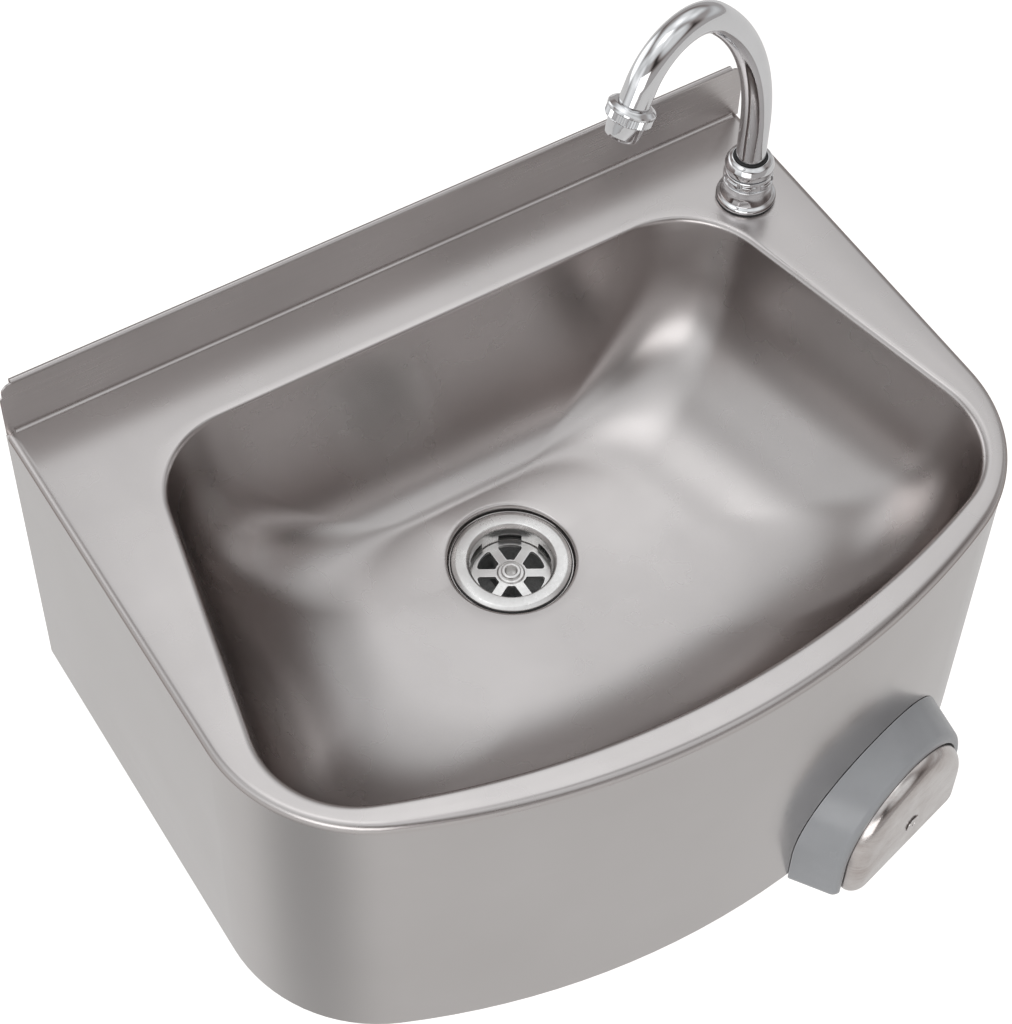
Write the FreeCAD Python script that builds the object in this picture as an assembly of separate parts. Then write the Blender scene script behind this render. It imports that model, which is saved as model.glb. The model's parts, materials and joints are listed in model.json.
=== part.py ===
import FreeCAD, Part
import math
import os

# Wall-hung hand wash sink of stainless steel sheet, worked by a knee plate.
# Millimetres. +X to the user's right, +Y into the wall, +Z up.
# Origin: centre of the four wall screw holes, on the wall's face (Y = 0).

V = FreeCAD.Vector

# ---------------------------------------------------------------- driving dimensions

# sheet metal body
body_width = 400.0
body_depth = 300.0
body_height = 182.0
deck_z = 90.0
sheet = 1.0
corner_r = 80.0
front_r = 382.0
edge_roll = 4.0
edge_lip = 4.6
seam_inset = 0.4
upstand_height = 33.0
upstand_depth = 3.5
upstand_crease = 2.0
hem_short = 6.5
upstand_chamfer = 5.0
hem_round = 1.7
skirt_return = 12.0
wall_flange = 26.0
screw_margin = 13.0
screw_spacing_z = 110.0
screw_hole_r = 4.3

# bowl
rim_rear = 42.5
rim_front = 17.5
rim_side_margin = 59.4
rim_side_tilt = 12.0
rim_front_r = 420.0
rim_rear_corner_r = 45.0
rim_front_corner_r = 48.0
rim_round = 5.0
rim_start = 75.0
rim_lead = 2.0
rim_steps = 5
floor_steps = 9
wall_draft = 10.0
floor_round = 90.0
floor_slope = 2.5
floor_fall = 3.0
rear_share = 0.38
bowl_depth = 105.0
seat_rise = 0.6

# waste
drain_back = 116.7
flange_r = 29.4
flange_t = 1.6
flange_edge = 2.0
flange_gasket_t = 0.7
gasket_proud = 0.5
seat_r = 31.6
seat_outer_r = 37.0
cup_r = 21.6
cup_wall = 1.2
cup_depth = 11.0
cup_taper = 1.6
cup_slots = 6
cup_slot_w = 7.0
cup_slot_h = 4.5
cup_slot_rise = 0.8
cup_mouth = 1.0
cup_ledge = 2.0
cup_ledge_t = 1.0
cup_gap = 0.3
grid_t = 1.8
window_inner_r = 7.9
window_outer_r = 17.0
spoke_w = 4.7
grid_windows = 6
grid_first_spoke = 30.0
window_corner = 1.2
boss_r = 6.4
boss_h = 0.8
waste_screw_r = 3.0
waste_screw_head_h = 1.6
waste_screw_chamfer = 0.5
waste_screw_tip = 2.0
waste_screw_head_r = 4.9
waste_screw_socket = 2.6
under_gasket_t = 2.5
waste_flange_r = 29.0
waste_flange_t = 3.0
tail_r = 20.955
tail_bore_r = 17.6
tail_length = 45.0
cup_room_wall = 1.6
cup_room_below = 6.0
hub_r = 6.0
hub_drop = 30.0
hub_h = 10.0
web_h = 8.0
web_t = 3.0
hub_webs = 3

# spout
tap_side = 29.0
tap_back = 52.0
spout_turn = 194.0
tube_r = 7.25
tube_bore_r = 6.0
riser_top = 48.0
neck_r = 133.0
neck_sweep = 45.0
crook_r = 30.0
crook_end = 154.0
spout_end_run = 25.0
base_flange_r = 14.6
base_flange_t = 2.2
base_body_r = 12.0
base_body_top = 13.6
base_edge = 0.4
base_flange_bevel = 0.9
base_flange_bevel_h = 0.8
base_waist = ((1.6, 0.6), (0.5, 2.2), (0.0, 4.6))
base_gasket_t = 0.6
base_gasket_inset = 0.3
shank_room = 0.4
ring_bottom = 14.0
ring_top = 19.2
ring_r = 11.6
ring_notches = 4
ring_notch_w = 3.0
ring_notch_depth = 0.9
ring_first_notch = 20.0
cap_bottom = 19.6
cap_top = 28.0
cap_r = 11.9
cap_mouth_r = 8.6
cap_dome = ((-0.5, 0.0), (0.0, 0.5), (0.0, 1.6), (-0.5, 3.4), (-1.3, 5.2), (-2.4, 6.8))
spout_seal_w = 0.9
spout_seal_h = 1.8
spout_seal_proud = 0.3
base_neck_r = 10.4
base_neck_top = 22.0
cavity_r = 9.4
cavity_floor = 5.5
shank_r = 10.3
shank_length = 40.0
tail_pipe_bore_r = 5.0
deck_hole_r = 11.0
washer_r = 16.0
washer_t = 1.6
washer_gap = 0.2
backnut_flats = 27.0
backnut_h = 8.0
collar_bottom = 16.6
collar_top = 21.6
o_ring_r = 1.0
o_ring_heights = (8.4, 12.6)
tube_foot_gap = 1.0
tube_in_collar = 4.0

# aerator
knurl_r = 11.25
knurl_depth = 0.45
knurl_count = 56
knurl_h = 5.0
shoulder_h = 2.6
shoulder_edge_h = 0.9
shoulder_bevel = 0.8
shoulder_bevel_h = 0.6
shoulder_wall = 1.6
knurl_bevel = 0.6
knurl_foot = ((-0.9, 0.0), (-0.3, 0.6))
knurl_core_gap = 0.1
collar_throat_h = 2.2
collar_thread_wall = 1.6
aerator_r = 8.8
aerator_tip_r = 7.7
aerator_h = 16.2
aerator_flat = 7.9
aerator_flat_top = 0.8
aerator_flat_depth = 5.0
aerator_tip_edge = 0.4
aerator_tip_edge_h = 0.5
aerator_thread_h = 1.9
mesh_seat = 1.4
mesh_ledge = 1.0
mesh_r = 6.4
mesh_t = 0.8
mesh_hole_r = 0.7
mesh_pitch = 2.0

# knee unit
knee_angle = 15.3
knee_drop = 165.0
housing_back_r = 54.4
housing_front_r = 46.2
housing_front = 19.0
housing_below = 26.5
housing_corner = 8.0
housing_edge = 2.2
housing_gap = 0.2
housing_root = 10.0
opening_r = 42.0
cavity_back = 3.5
plate_gap = 1.0
plate_face = 26.5
plate_back = 13.0
plate_edge = 6.0
plate_corner = 8.0
plate_sheet = 1.5
plate_boss_r = 8.0
plate_boss_h = 6.0
plate_screw_head_r = 4.6
plate_screw_r = 2.0
plate_screw_length = 18.0
plate_slot_w = 1.0
plate_slot_length = 6.4
plate_slot_depth = 1.0
push_travel = 8.0

# valve behind the skirt
neck_thread_r = 13.0
neck_front = 9.0
neck_room = 0.3
shoulder_gap = 0.6
locknut_flats = 32.0
locknut_h = 5.0
valve_r = 16.0
valve_length = 42.0
valve_collar_h = 6.0
valve_tail_r = 12.0
rod_r = 5.0
rod_collar_r = 8.2
rod_collar_h = 3.0
rod_tail_r = 3.6
rod_tail_h = 9.0
chamber_r = 8.6
chamber_front = 7.7
chamber_length = 31.0
spring_wire_r = 0.8
spring_turns = 7
seal_r = 7.2
seal_h = 2.0
manifold_w = 60.0
manifold_d = 26.0
manifold_h = 30.0
manifold_edge = 3.0
valve_in_manifold = 5.0
inlet_spacing = 32.0
nipple_r = 8.33
nipple_length = 12.0
nipple_flats = 19.0
nipple_collar_h = 5.0
nipple_bore_r = 5.0
pipe_r = 5.0
pipe_bore_r = 4.0
pipe_bend_r = 15.0
pipe_run_z = -30.0
pipe_nut_flats = 22.0
pipe_nut_h = 14.0
pipe_nut_cup = 9.0

# clearances
running = 0.05
thread_gap = 0.05
touch = 0.05
stop_gap = 0.3

# how far a cutter reaches past what it cuts, how deep fused shapes overlap, and what counts as level
over = 1.0
bite = 0.2
level = 0.01

# ---------------------------------------------------------------- derived places

half_width = body_width / 2
screw_spacing_x = body_width - 2 * screw_margin
rim_side_reach = half_width * math.cos(math.radians(rim_side_tilt)) - rim_side_margin
drain_y = -drain_back
tap_x = half_width - tap_side
tap_y = -tap_back
front_centre_y = front_r - body_depth
skirt_top = deck_z - edge_lip
skirt_bottom = deck_z - body_height
seat_depth = bowl_depth + flange_t + flange_gasket_t
flange_top_z = deck_z - bowl_depth
seat_z = deck_z - seat_depth
grid_top_z = flange_top_z - cup_depth
skirt_r = front_r - seam_inset
drain_hole_r = cup_r + cup_wall + 2 * cup_gap


# ---------------------------------------------------------------- helpers

def cylinder(r, z0, z1, x=0.0, y=0.0):
    return Part.makeCylinder(r, z1 - z0, V(x, y, z0))


def ring(outer, inner, z0, z1, x=0.0, y=0.0):
    return cylinder(outer, z0, z1, x, y).cut(cylinder(inner, z0 - over, z1 + over, x, y))


def block(x0, x1, y0, y1, z0, z1):
    return Part.makeBox(x1 - x0, y1 - y0, z1 - z0, V(x0, y0, z0))


def hex_prism(flats, z0, z1, x=0.0, y=0.0):
    r = flats / math.sqrt(3)
    corners = [V(x + r * math.cos(math.radians(60 * k)), y + r * math.sin(math.radians(60 * k)), z0)
               for k in range(7)]
    return Part.Face(Part.makePolygon(corners)).extrude(V(0, 0, z1 - z0))


def revolved(points, x=0.0, y=0.0):
    """A closed outline of (radius, z) points turned about a vertical axis."""
    corners = [V(x + r, y, z) for r, z in points]
    outline = Part.Face(Part.makePolygon(corners + corners[:1]))
    return outline.revolve(V(x, y, 0), V(0, 0, 1), 360)


def arc_about(centre, r, start, end, z):
    """Arc in a level plane, from one angle to another in degrees."""
    angles = [math.radians(a) for a in (start, (start + end) / 2, end)]
    points = [V(centre[0] + r * math.cos(a), centre[1] + r * math.sin(a), z) for a in angles]
    return Part.Arc(*points).toShape()


def line(a, b):
    return Part.LineSegment(a, b).toShape()


def front_corner(reach, tilt, arc_centre_y, arc_r, r):
    """Centre of the round corner that touches a side line and the front arc."""
    nx, ny = math.cos(math.radians(tilt)), math.sin(math.radians(tilt))
    tx, ty = ny, -nx
    gx, gy = (reach - r) * nx, (reach - r) * ny - arc_centre_y
    along = gx * tx + gy * ty
    s = -along + math.sqrt(along ** 2 - gx ** 2 - gy ** 2 + (arc_r - r) ** 2)
    return gx + s * tx, gy + arc_centre_y + s * ty


def mirrored_corner_angles(centre, arc_centre_y, tilt):
    """Start and end angle of the right front corner, clockwise from the side to the front."""
    return tilt, math.degrees(math.atan2(centre[1] - arc_centre_y, centre[0]))


def deck_outline(z, inset=0.0, rear_y=0.0):
    """Outline of the deck: straight sides, round front corners, bowed front."""
    x = half_width - inset
    r = corner_r - inset
    big = front_r - inset
    cx, cy = front_corner(x, 0.0, front_centre_y, big, r)
    start, end = mirrored_corner_angles((cx, cy), front_centre_y, 0.0)
    edges = [line(V(-x, rear_y, z), V(x, rear_y, z)),
             line(V(x, rear_y, z), V(x, cy, z)),
             arc_about((cx, cy), r, start, end, z),
             arc_about((0, front_centre_y), big, end, -180 - end, z),
             arc_about((-cx, cy), r, -180 - end, -180 - start, z),
             line(V(-x, cy, z), V(-x, rear_y, z))]
    return Part.Wire(edges)


def prism(wire, height):
    return Part.Face(wire).extrude(V(0, 0, height))


def fillet_where(shape, r, chosen):
    edges = [e for e in shape.Edges if chosen(e)]
    return shape.makeFillet(r, edges)


# ---------------------------------------------------------------- bowl

def bowl_profile():
    """Wall profile from above the rim to the floor: (inset, depth, slope), 90 being level."""
    start, first = math.radians(rim_start), math.radians(wall_draft)
    points = []
    for step in range(rim_steps):
        angle = rim_start + (wall_draft - rim_start) * step / (rim_steps - 1)
        turn = math.radians(angle)
        points.append((rim_round * (math.cos(turn) - math.cos(first)),
                       rim_round * (math.sin(start) - math.sin(turn)), angle))
    inset, depth, _ = points[0]
    points.insert(0, (inset - rim_lead * math.sin(start), depth - rim_lead * math.cos(start), rim_start))
    inset, depth, _ = points[-1]
    drop = floor_round * (math.cos(math.radians(floor_slope)) - math.sin(math.radians(wall_draft)))
    wall = bowl_depth - floor_fall - drop - depth
    for share in (0.5, 1.0):
        points.append((inset + share * wall * math.tan(math.radians(wall_draft)),
                       depth + share * wall, wall_draft))
    inset, depth, _ = points[-1]
    for k in range(1, floor_steps + 1):
        angle = wall_draft + (90 - floor_slope - wall_draft) * k / floor_steps
        turn = math.radians(angle)
        points.append((inset + floor_round * (math.cos(first) - math.cos(turn)),
                       depth + floor_round * (math.sin(turn) - math.sin(first)), angle))
    return points


def bowl_section(inset, z, widen):
    """Level section of the bowl, inset from the rim; widen makes room for the sheet."""
    n = math.radians(rim_side_tilt)
    reach = rim_side_reach - inset + widen
    rear = -rim_rear - rear_share * inset + widen
    big = rim_front_r - inset + widen
    big_y = rim_front + rim_front_r - body_depth
    rear_r = rim_rear_corner_r + widen
    front_corner_r = rim_front_corner_r + widen
    ry = rear - rear_r
    rx = (reach - rear_r - math.sin(n) * ry) / math.cos(n)
    cx, cy = front_corner(reach, rim_side_tilt, big_y, big, front_corner_r)
    start, end = mirrored_corner_angles((cx, cy), big_y, rim_side_tilt)
    side_top = V(rx + rear_r * math.cos(n), ry + rear_r * math.sin(n), z)
    side_low = V(cx + front_corner_r * math.cos(n), cy + front_corner_r * math.sin(n), z)
    edges = [line(V(-rx, rear, z), V(rx, rear, z)),
             arc_about((rx, ry), rear_r, 90, rim_side_tilt, z),
             line(side_top, side_low),
             arc_about((cx, cy), front_corner_r, start, end, z),
             arc_about((0, big_y), big, end, -180 - end, z),
             arc_about((-cx, cy), front_corner_r, -180 - end, -180 - rim_side_tilt, z),
             line(V(-side_low.x, side_low.y, z), V(-side_top.x, side_top.y, z)),
             arc_about((-rx, ry), rear_r, 180 - rim_side_tilt, 90, z)]
    return Part.Wire(edges)


def seat_section(like, r, z):
    """Round section about the drain, split where the section above has its corners."""
    angles = []
    for vertex in like.OrderedVertexes:
        angle = math.degrees(math.atan2(vertex.Point.y - drain_y, vertex.Point.x))
        if angles and angle > angles[-1]:
            angle -= 360
        angles.append(angle)
    angles.append(angles[0] - 360)
    return Part.Wire([arc_about((0, drain_y), r, a, b, z) for a, b in zip(angles, angles[1:])])


def bowl_solid(skin):
    """The bowl's hollow (skin 0), or the hollow with the sheet around it."""
    sections = []
    for inset, depth, angle in bowl_profile():
        turn = math.radians(angle)
        z = deck_z - depth - skin * math.sin(turn)
        sections.append(bowl_section(inset, z, skin * math.cos(turn)))
    floor_z = deck_z - bowl_depth + seat_rise - skin
    rim = Part.makeLoft(sections[:rim_steps + 1], True, False)
    walls = Part.makeLoft(sections[rim_steps:], True, False)
    floor = Part.makeLoft([sections[-1], seat_section(sections[-1], seat_outer_r, floor_z)], True, True)
    seat = revolved([(0, floor_z), (seat_outer_r, floor_z), (seat_r, seat_z - skin), (0, seat_z - skin)],
                    0, drain_y)
    hollow = rim.fuse(walls).fuse(floor)
    return hollow.fuse(seat)


# ---------------------------------------------------------------- sheet metal body

def make_deck():
    outer = prism(deck_outline(deck_z - edge_lip, 0, -upstand_depth), edge_lip)
    outer = fillet_where(outer, edge_roll, lambda e: on_top_edge(e, -upstand_depth))
    under = prism(deck_outline(deck_z - edge_lip, sheet, -upstand_depth), edge_lip - sheet)
    under = fillet_where(under, edge_roll - sheet, lambda e: on_under_edge(e, -upstand_depth))
    return outer.cut(under)


def on_top_edge(edge, rear_y):
    box = edge.BoundBox
    return box.ZMin > deck_z - level and box.YMin < rear_y - level


def on_under_edge(edge, rear_y):
    box = edge.BoundBox
    return abs(box.ZMin - deck_z + sheet) < level and box.ZLength < level and box.YMin < rear_y - level


def make_upstand():
    top = deck_z + upstand_height
    foot = deck_z - sheet
    outer = block(-half_width, half_width, -upstand_depth, 0, foot, top)
    outer = fillet_where(outer, hem_round,
                         lambda e: e.BoundBox.ZMin > top - level and e.BoundBox.XLength > body_width / 2)
    reach = half_width + over
    inner = block(-reach, reach, sheet - upstand_depth, -sheet, foot - over, top - sheet)
    shape = outer.cut(inner)
    for side in (-1, 1):
        x0, x1 = sorted((side * (half_width - hem_short), side * reach))
        shape = shape.cut(block(x0, x1, sheet - upstand_depth, over, foot - over, top + over))
        shape = shape.cut(corner_wedge(side, top))
    return shape


def corner_wedge(side, top):
    """Cuts the upstand's upper end corner."""
    reach = upstand_chamfer + over
    x = side * (half_width + over)
    y = -upstand_depth - over
    points = [V(x, y, top - reach), V(x, y, top + over), V(x - side * (reach + over), y, top + over)]
    return Part.Face(Part.makePolygon(points + points[:1])).extrude(V(0, upstand_depth + 2 * over, 0))


def make_crease():
    """Small round in the corner between the deck and the upstand."""
    x = -half_width + edge_roll
    y = -upstand_depth
    r = upstand_crease
    bend = math.cos(math.radians(45))
    mid = V(x, y - r + r * bend, deck_z + r - r * bend)
    edges = [line(V(x, y - r, deck_z), V(x, y, deck_z)),
             line(V(x, y, deck_z), V(x, y, deck_z + r)),
             Part.Arc(V(x, y, deck_z + r), mid, V(x, y - r, deck_z)).toShape()]
    return Part.Face(Part.Wire(edges)).extrude(V(body_width - 2 * edge_roll, 0, 0))


def make_basin():
    shape = make_deck().fuse(make_upstand()).fuse(make_crease())
    shape = shape.fuse(bowl_solid(sheet))
    shape = shape.cut(bowl_solid(0.0))
    shape = shape.cut(cylinder(drain_hole_r, seat_z - 2 * sheet, seat_z + over, 0, drain_y))
    shape = shape.cut(cylinder(deck_hole_r, deck_z - 2 * sheet, deck_z + over, tap_x, tap_y))
    return shape.removeSplitter()


def make_skirt():
    height = skirt_top - skirt_bottom
    outer = prism(deck_outline(skirt_bottom, seam_inset, 0), height)
    inner = prism(deck_outline(skirt_bottom - over, seam_inset + sheet, -sheet), height + 2 * over)
    shape = outer.cut(inner)
    returned = prism(deck_outline(skirt_bottom, seam_inset + sheet / 2, -sheet), sheet)
    middle = deck_outline(skirt_bottom - over, seam_inset + skirt_return, over)
    returned = returned.cut(prism(middle, sheet + 2 * over))
    shape = shape.fuse(returned)
    gap = half_width - wall_flange
    shape = shape.cut(block(-gap, gap, -2 * sheet, over, skirt_bottom - over, skirt_top + over))
    for x in (-screw_spacing_x / 2, screw_spacing_x / 2):
        for z in (-screw_spacing_z / 2, screw_spacing_z / 2):
            shape = shape.cut(Part.makeCylinder(screw_hole_r, 4 * sheet, V(x, -2 * sheet, z), V(0, 1, 0)))
    neck = cylinder(neck_thread_r + neck_room, -housing_root, housing_root)
    return shape.cut(on_knee(neck)).removeSplitter()


# ---------------------------------------------------------------- waste

def drain_ring(outer, inner, z0, z1):
    return ring(outer, inner, z0, z1, 0, drain_y)


def make_waste_flange():
    bottom = grid_top_z - grid_t
    wall_r = cup_r - cup_taper
    under = flange_top_z - flange_t
    cup = revolved([(cup_r, flange_top_z), (flange_r - flange_edge, flange_top_z),
                    (flange_r, under + flange_t / 3), (flange_r, under), (cup_r + cup_wall, under),
                    (wall_r + cup_wall, grid_top_z), (wall_r + cup_wall, bottom - cup_ledge_t),
                    (wall_r - cup_ledge, bottom - cup_ledge_t), (wall_r - cup_ledge, bottom),
                    (wall_r, bottom), (wall_r, grid_top_z),
                    (cup_r - cup_mouth, flange_top_z - cup_mouth)], 0, drain_y)
    slot_z = grid_top_z + cup_slot_rise
    for k in range(cup_slots):
        slot = block(wall_r - over, flange_r, -cup_slot_w / 2, cup_slot_w / 2, slot_z, slot_z + cup_slot_h)
        slot.rotate(V(0, 0, 0), V(0, 0, 1), grid_first_spoke + 180 / cup_slots + 360 / cup_slots * k)
        slot.translate(V(0, drain_y, 0))
        cup = cup.cut(slot)
    return cup


def grid_window(angle):
    """One window between two spokes: a sector whose sides run beside the spokes."""
    sector = ring(window_outer_r, window_inner_r, grid_top_z - grid_t - over, grid_top_z + over)
    step = 360 / grid_windows
    big = 3 * window_outer_r
    z0 = grid_top_z - grid_t - over
    wedge = Part.Face(Part.makePolygon([
        V(0, 0, z0),
        V(big * math.cos(math.radians(-step / 2)), big * math.sin(math.radians(-step / 2)), z0),
        V(big * math.cos(math.radians(step / 2)), big * math.sin(math.radians(step / 2)), z0),
        V(0, 0, z0)])).extrude(V(0, 0, grid_t + 2 * over))
    wedge.translate(V(spoke_w / 2 / math.sin(math.radians(step / 2)), 0, 0))
    window = sector.common(wedge)
    window = window.makeFillet(window_corner, [e for e in window.Edges if e.BoundBox.ZLength > grid_t])
    window.rotate(V(0, 0, 0), V(0, 0, 1), angle)
    window.translate(V(0, drain_y, 0))
    return window


def make_waste_grid():
    shape = cylinder(cup_r - cup_taper - touch, grid_top_z - grid_t, grid_top_z, 0, drain_y)
    boss = cylinder(boss_r, grid_top_z, grid_top_z + boss_h, 0, drain_y)
    shape = shape.fuse(boss)
    for k in range(grid_windows):
        shape = shape.cut(grid_window(grid_first_spoke + 360 / grid_windows * (k + 0.5)))
    hole = cylinder(waste_screw_r + thread_gap, grid_top_z - 2 * grid_t, grid_top_z + 2 * boss_h, 0, drain_y)
    return shape.cut(hole)


def make_waste_screw():
    seat = grid_top_z + boss_h
    top = seat + waste_screw_head_h
    head = cylinder(waste_screw_head_r, seat, top, 0, drain_y)
    head = head.makeChamfer(waste_screw_chamfer, [e for e in head.Edges if e.BoundBox.ZMin > top - over / 2])
    shank = cylinder(waste_screw_r, hub_bottom() + waste_screw_tip, seat, 0, drain_y)
    socket = hex_prism(2 * waste_screw_socket, seat - boss_h / 2, top + over, 0, drain_y)
    return head.fuse(shank).cut(socket)


def waste_top():
    return seat_z - sheet - under_gasket_t


def hub_bottom():
    return waste_top() - hub_drop


def make_waste_body():
    top = waste_top()
    tail_top = top - waste_flange_t - cup_room_below
    room_r = cup_r + cup_wall + cup_gap
    shape = cylinder(waste_flange_r, top - waste_flange_t, top, 0, drain_y)
    shape = shape.fuse(cylinder(room_r + cup_room_wall, tail_top, top, 0, drain_y))
    shape = shape.fuse(cylinder(tail_r, tail_top - tail_length, tail_top, 0, drain_y))
    shape = shape.cut(cylinder(room_r, grid_top_z - grid_t - cup_ledge_t - cup_gap, top + over, 0, drain_y))
    shape = shape.cut(cylinder(tail_bore_r, tail_top - tail_length - over, top + over, 0, drain_y))
    hub = cylinder(hub_r, hub_bottom(), hub_bottom() + hub_h, 0, drain_y)
    for k in range(hub_webs):
        web = block(0, tail_bore_r + cup_gap, -web_t / 2, web_t / 2, hub_bottom(), hub_bottom() + web_h)
        web.rotate(V(0, 0, 0), V(0, 0, 1), 90 + 360 / hub_webs * k)
        web.translate(V(0, drain_y, 0))
        hub = hub.fuse(web)
    hole = cylinder(waste_screw_r + thread_gap, hub_bottom() - over, hub_bottom() + hub_h + over, 0, drain_y)
    return shape.fuse(hub).cut(hole)


def make_flange_gasket():
    return drain_ring(flange_r + gasket_proud, cup_r + cup_wall + cup_gap, seat_z, seat_z + flange_gasket_t)


def make_under_gasket():
    return drain_ring(waste_flange_r + gasket_proud, drain_hole_r, waste_top(), waste_top() + under_gasket_t)


# ---------------------------------------------------------------- spout base

def tap(shape):
    """Moves a piece built about the Z axis, from the deck up, to the tap hole."""
    shape.translate(V(tap_x, tap_y, deck_z))
    return shape


def make_base_gasket():
    return tap(ring(base_flange_r - base_gasket_inset, shank_r + shank_room, 0, base_gasket_t))


def make_spout_base():
    top = base_gasket_t + base_flange_t
    outline = [(0, base_gasket_t), (base_flange_r - base_edge, base_gasket_t),
               (base_flange_r, base_gasket_t + base_edge),
               (base_flange_r, top - base_flange_bevel_h - bite),
               (base_flange_r - base_flange_bevel, top - bite)]
    outline += [(base_body_r + out, top + up) for out, up in base_waist]
    outline += [(base_body_r, base_body_top), (base_neck_r, base_body_top),
                (base_neck_r, base_neck_top), (0, base_neck_top)]
    shank_end = -shank_length - pipe_nut_cup
    shape = revolved(outline)
    shape = shape.fuse(cylinder(shank_r, -shank_length, base_gasket_t))
    shape = shape.fuse(cylinder(nipple_r, shank_end, -shank_length))
    shape = shape.cut(cylinder(cavity_r, cavity_floor, base_neck_top + over))
    shape = shape.cut(cylinder(tail_pipe_bore_r, shank_end - over, cavity_floor + over))
    return tap(shape)


def make_lock_ring():
    shape = ring(ring_r, base_neck_r + thread_gap, ring_bottom, ring_top)
    for k in range(ring_notches):
        notch = block(ring_r - ring_notch_depth, ring_r + over, -ring_notch_w / 2, ring_notch_w / 2,
                      ring_bottom - over, ring_top + over)
        notch.rotate(V(0, 0, 0), V(0, 0, 1), spout_turn + ring_first_notch + 360 / ring_notches * k)
        shape = shape.cut(notch)
    return tap(shape)


def make_cap_nut():
    seal_seat = cap_top - spout_seal_h
    outline = [(cap_r + out, cap_bottom + up) for out, up in cap_dome]
    outline += [(cap_mouth_r, cap_top), (tube_r + spout_seal_w, cap_top), (tube_r + spout_seal_w, seal_seat),
                (tube_r + running, seal_seat), (tube_r + running, base_neck_top),
                (base_neck_r + thread_gap, base_neck_top), (base_neck_r + thread_gap, cap_bottom)]
    return tap(revolved(outline))


def make_spout_seal():
    top = cap_top + spout_seal_proud
    return tap(ring(tube_r + spout_seal_w, tube_r + running, cap_top - spout_seal_h, top))


def make_spout_washer():
    return tap(ring(washer_r, shank_r + washer_gap, -sheet - washer_t, -sheet))


def make_spout_backnut():
    top = -sheet - washer_t
    nut = hex_prism(backnut_flats, top - backnut_h, top)
    return tap(nut.cut(cylinder(shank_r + thread_gap, top - backnut_h - over, top + over)))


# ---------------------------------------------------------------- swivelling spout

def spout_point(turned, distance=0.0):
    """Point of the spout's centreline after turning this many degrees, in the spout's plane.

    Returns the distance out from the riser, the height above the deck and the direction."""
    bend = math.radians(min(turned, neck_sweep))
    out = neck_r * (1 - math.cos(bend))
    up = riser_top + neck_r * math.sin(bend)
    if turned > neck_sweep:
        first, last = math.radians(neck_sweep), math.radians(turned)
        out += crook_r * (math.cos(first) - math.cos(last))
        up += crook_r * (math.sin(last) - math.sin(first))
    course = math.radians(turned)
    return out + distance * math.sin(course), up + distance * math.cos(course)


def spout_vector(turned, distance=0.0):
    out, up = spout_point(turned, distance)
    heading = math.radians(spout_turn)
    return V(tap_x + out * math.cos(heading), tap_y + out * math.sin(heading), deck_z + up)


def spout_path(start_z, end_run):
    mid = (neck_sweep + crook_end) / 2
    start = V(tap_x, tap_y, deck_z + start_z)
    edges = [line(start, spout_vector(0)),
             Part.Arc(spout_vector(0), spout_vector(neck_sweep / 2), spout_vector(neck_sweep)).toShape(),
             Part.Arc(spout_vector(neck_sweep), spout_vector(mid), spout_vector(crook_end)).toShape(),
             line(spout_vector(crook_end), spout_vector(crook_end, end_run))]
    return Part.Wire(edges)


def swept_tube(path, r):
    first = path.OrderedVertexes[0].Point
    course = path.OrderedEdges[0].tangentAt(path.OrderedEdges[0].FirstParameter)
    circle = Part.Wire([Part.Circle(first, course, r).toShape()])
    return path.makePipeShell([circle], True, False)


def make_spout_tube():
    start = cavity_floor + tube_foot_gap
    end_run = spout_end_run - aerator_h + tube_in_collar
    outer = swept_tube(spout_path(start, end_run), tube_r)
    inner = swept_tube(spout_path(start - over, end_run + over), tube_bore_r)
    return outer.cut(inner)


def make_tube_collar():
    return tap(ring(cavity_r - running, tube_r + touch, collar_bottom, collar_top))


def make_o_rings():
    solids = []
    mean = (tube_r + cavity_r) / 2
    for height in o_ring_heights:
        solids.append(tap(Part.makeTorus(mean, o_ring_r, V(0, 0, height))))
    return Part.Compound(solids)


def at_spout_end(shape):
    """Places a piece built downwards from Z = 0 (the tip) along the spout's end."""
    tip = spout_vector(crook_end, spout_end_run)
    course = tip.sub(spout_vector(crook_end)).normalize()
    turn = FreeCAD.Rotation(V(0, 0, 1), V(-course.x, -course.y, -course.z))
    shape.Placement = FreeCAD.Placement(tip, turn)
    return shape


def knurled_prism(z0, z1):
    points = []
    for k in range(2 * knurl_count):
        r = knurl_r if k % 2 == 0 else knurl_r - knurl_depth
        angle = math.pi * k / knurl_count
        points.append(V(r * math.cos(angle), r * math.sin(angle), z0))
    return Part.Face(Part.makePolygon(points + points[:1])).extrude(V(0, 0, z1 - z0))


def collar_foot():
    return aerator_h - shoulder_h - knurl_h


def make_aerator_collar():
    foot = collar_foot()
    edge = foot + knurl_h
    core_r = knurl_r - knurl_depth
    outline = [(0, foot)] + [(knurl_r + out, foot + up) for out, up in knurl_foot]
    outline += [(core_r, foot + knurl_bevel + knurl_core_gap), (core_r, edge - knurl_core_gap),
                (knurl_r, edge), (knurl_r, edge + shoulder_edge_h),
                (knurl_r - shoulder_bevel, edge + shoulder_edge_h + shoulder_bevel_h),
                (tube_r + shoulder_wall, aerator_h), (0, aerator_h)]
    shape = knurled_prism(foot + knurl_bevel, edge).fuse(revolved(outline))
    bore = cylinder(tube_r + touch, foot + collar_throat_h - bite, aerator_h + over)
    throat_r = aerator_r - collar_thread_wall + thread_gap
    throat = cylinder(throat_r, foot - over, foot + collar_throat_h)
    return at_spout_end(shape.cut(bore).cut(throat))


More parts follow.
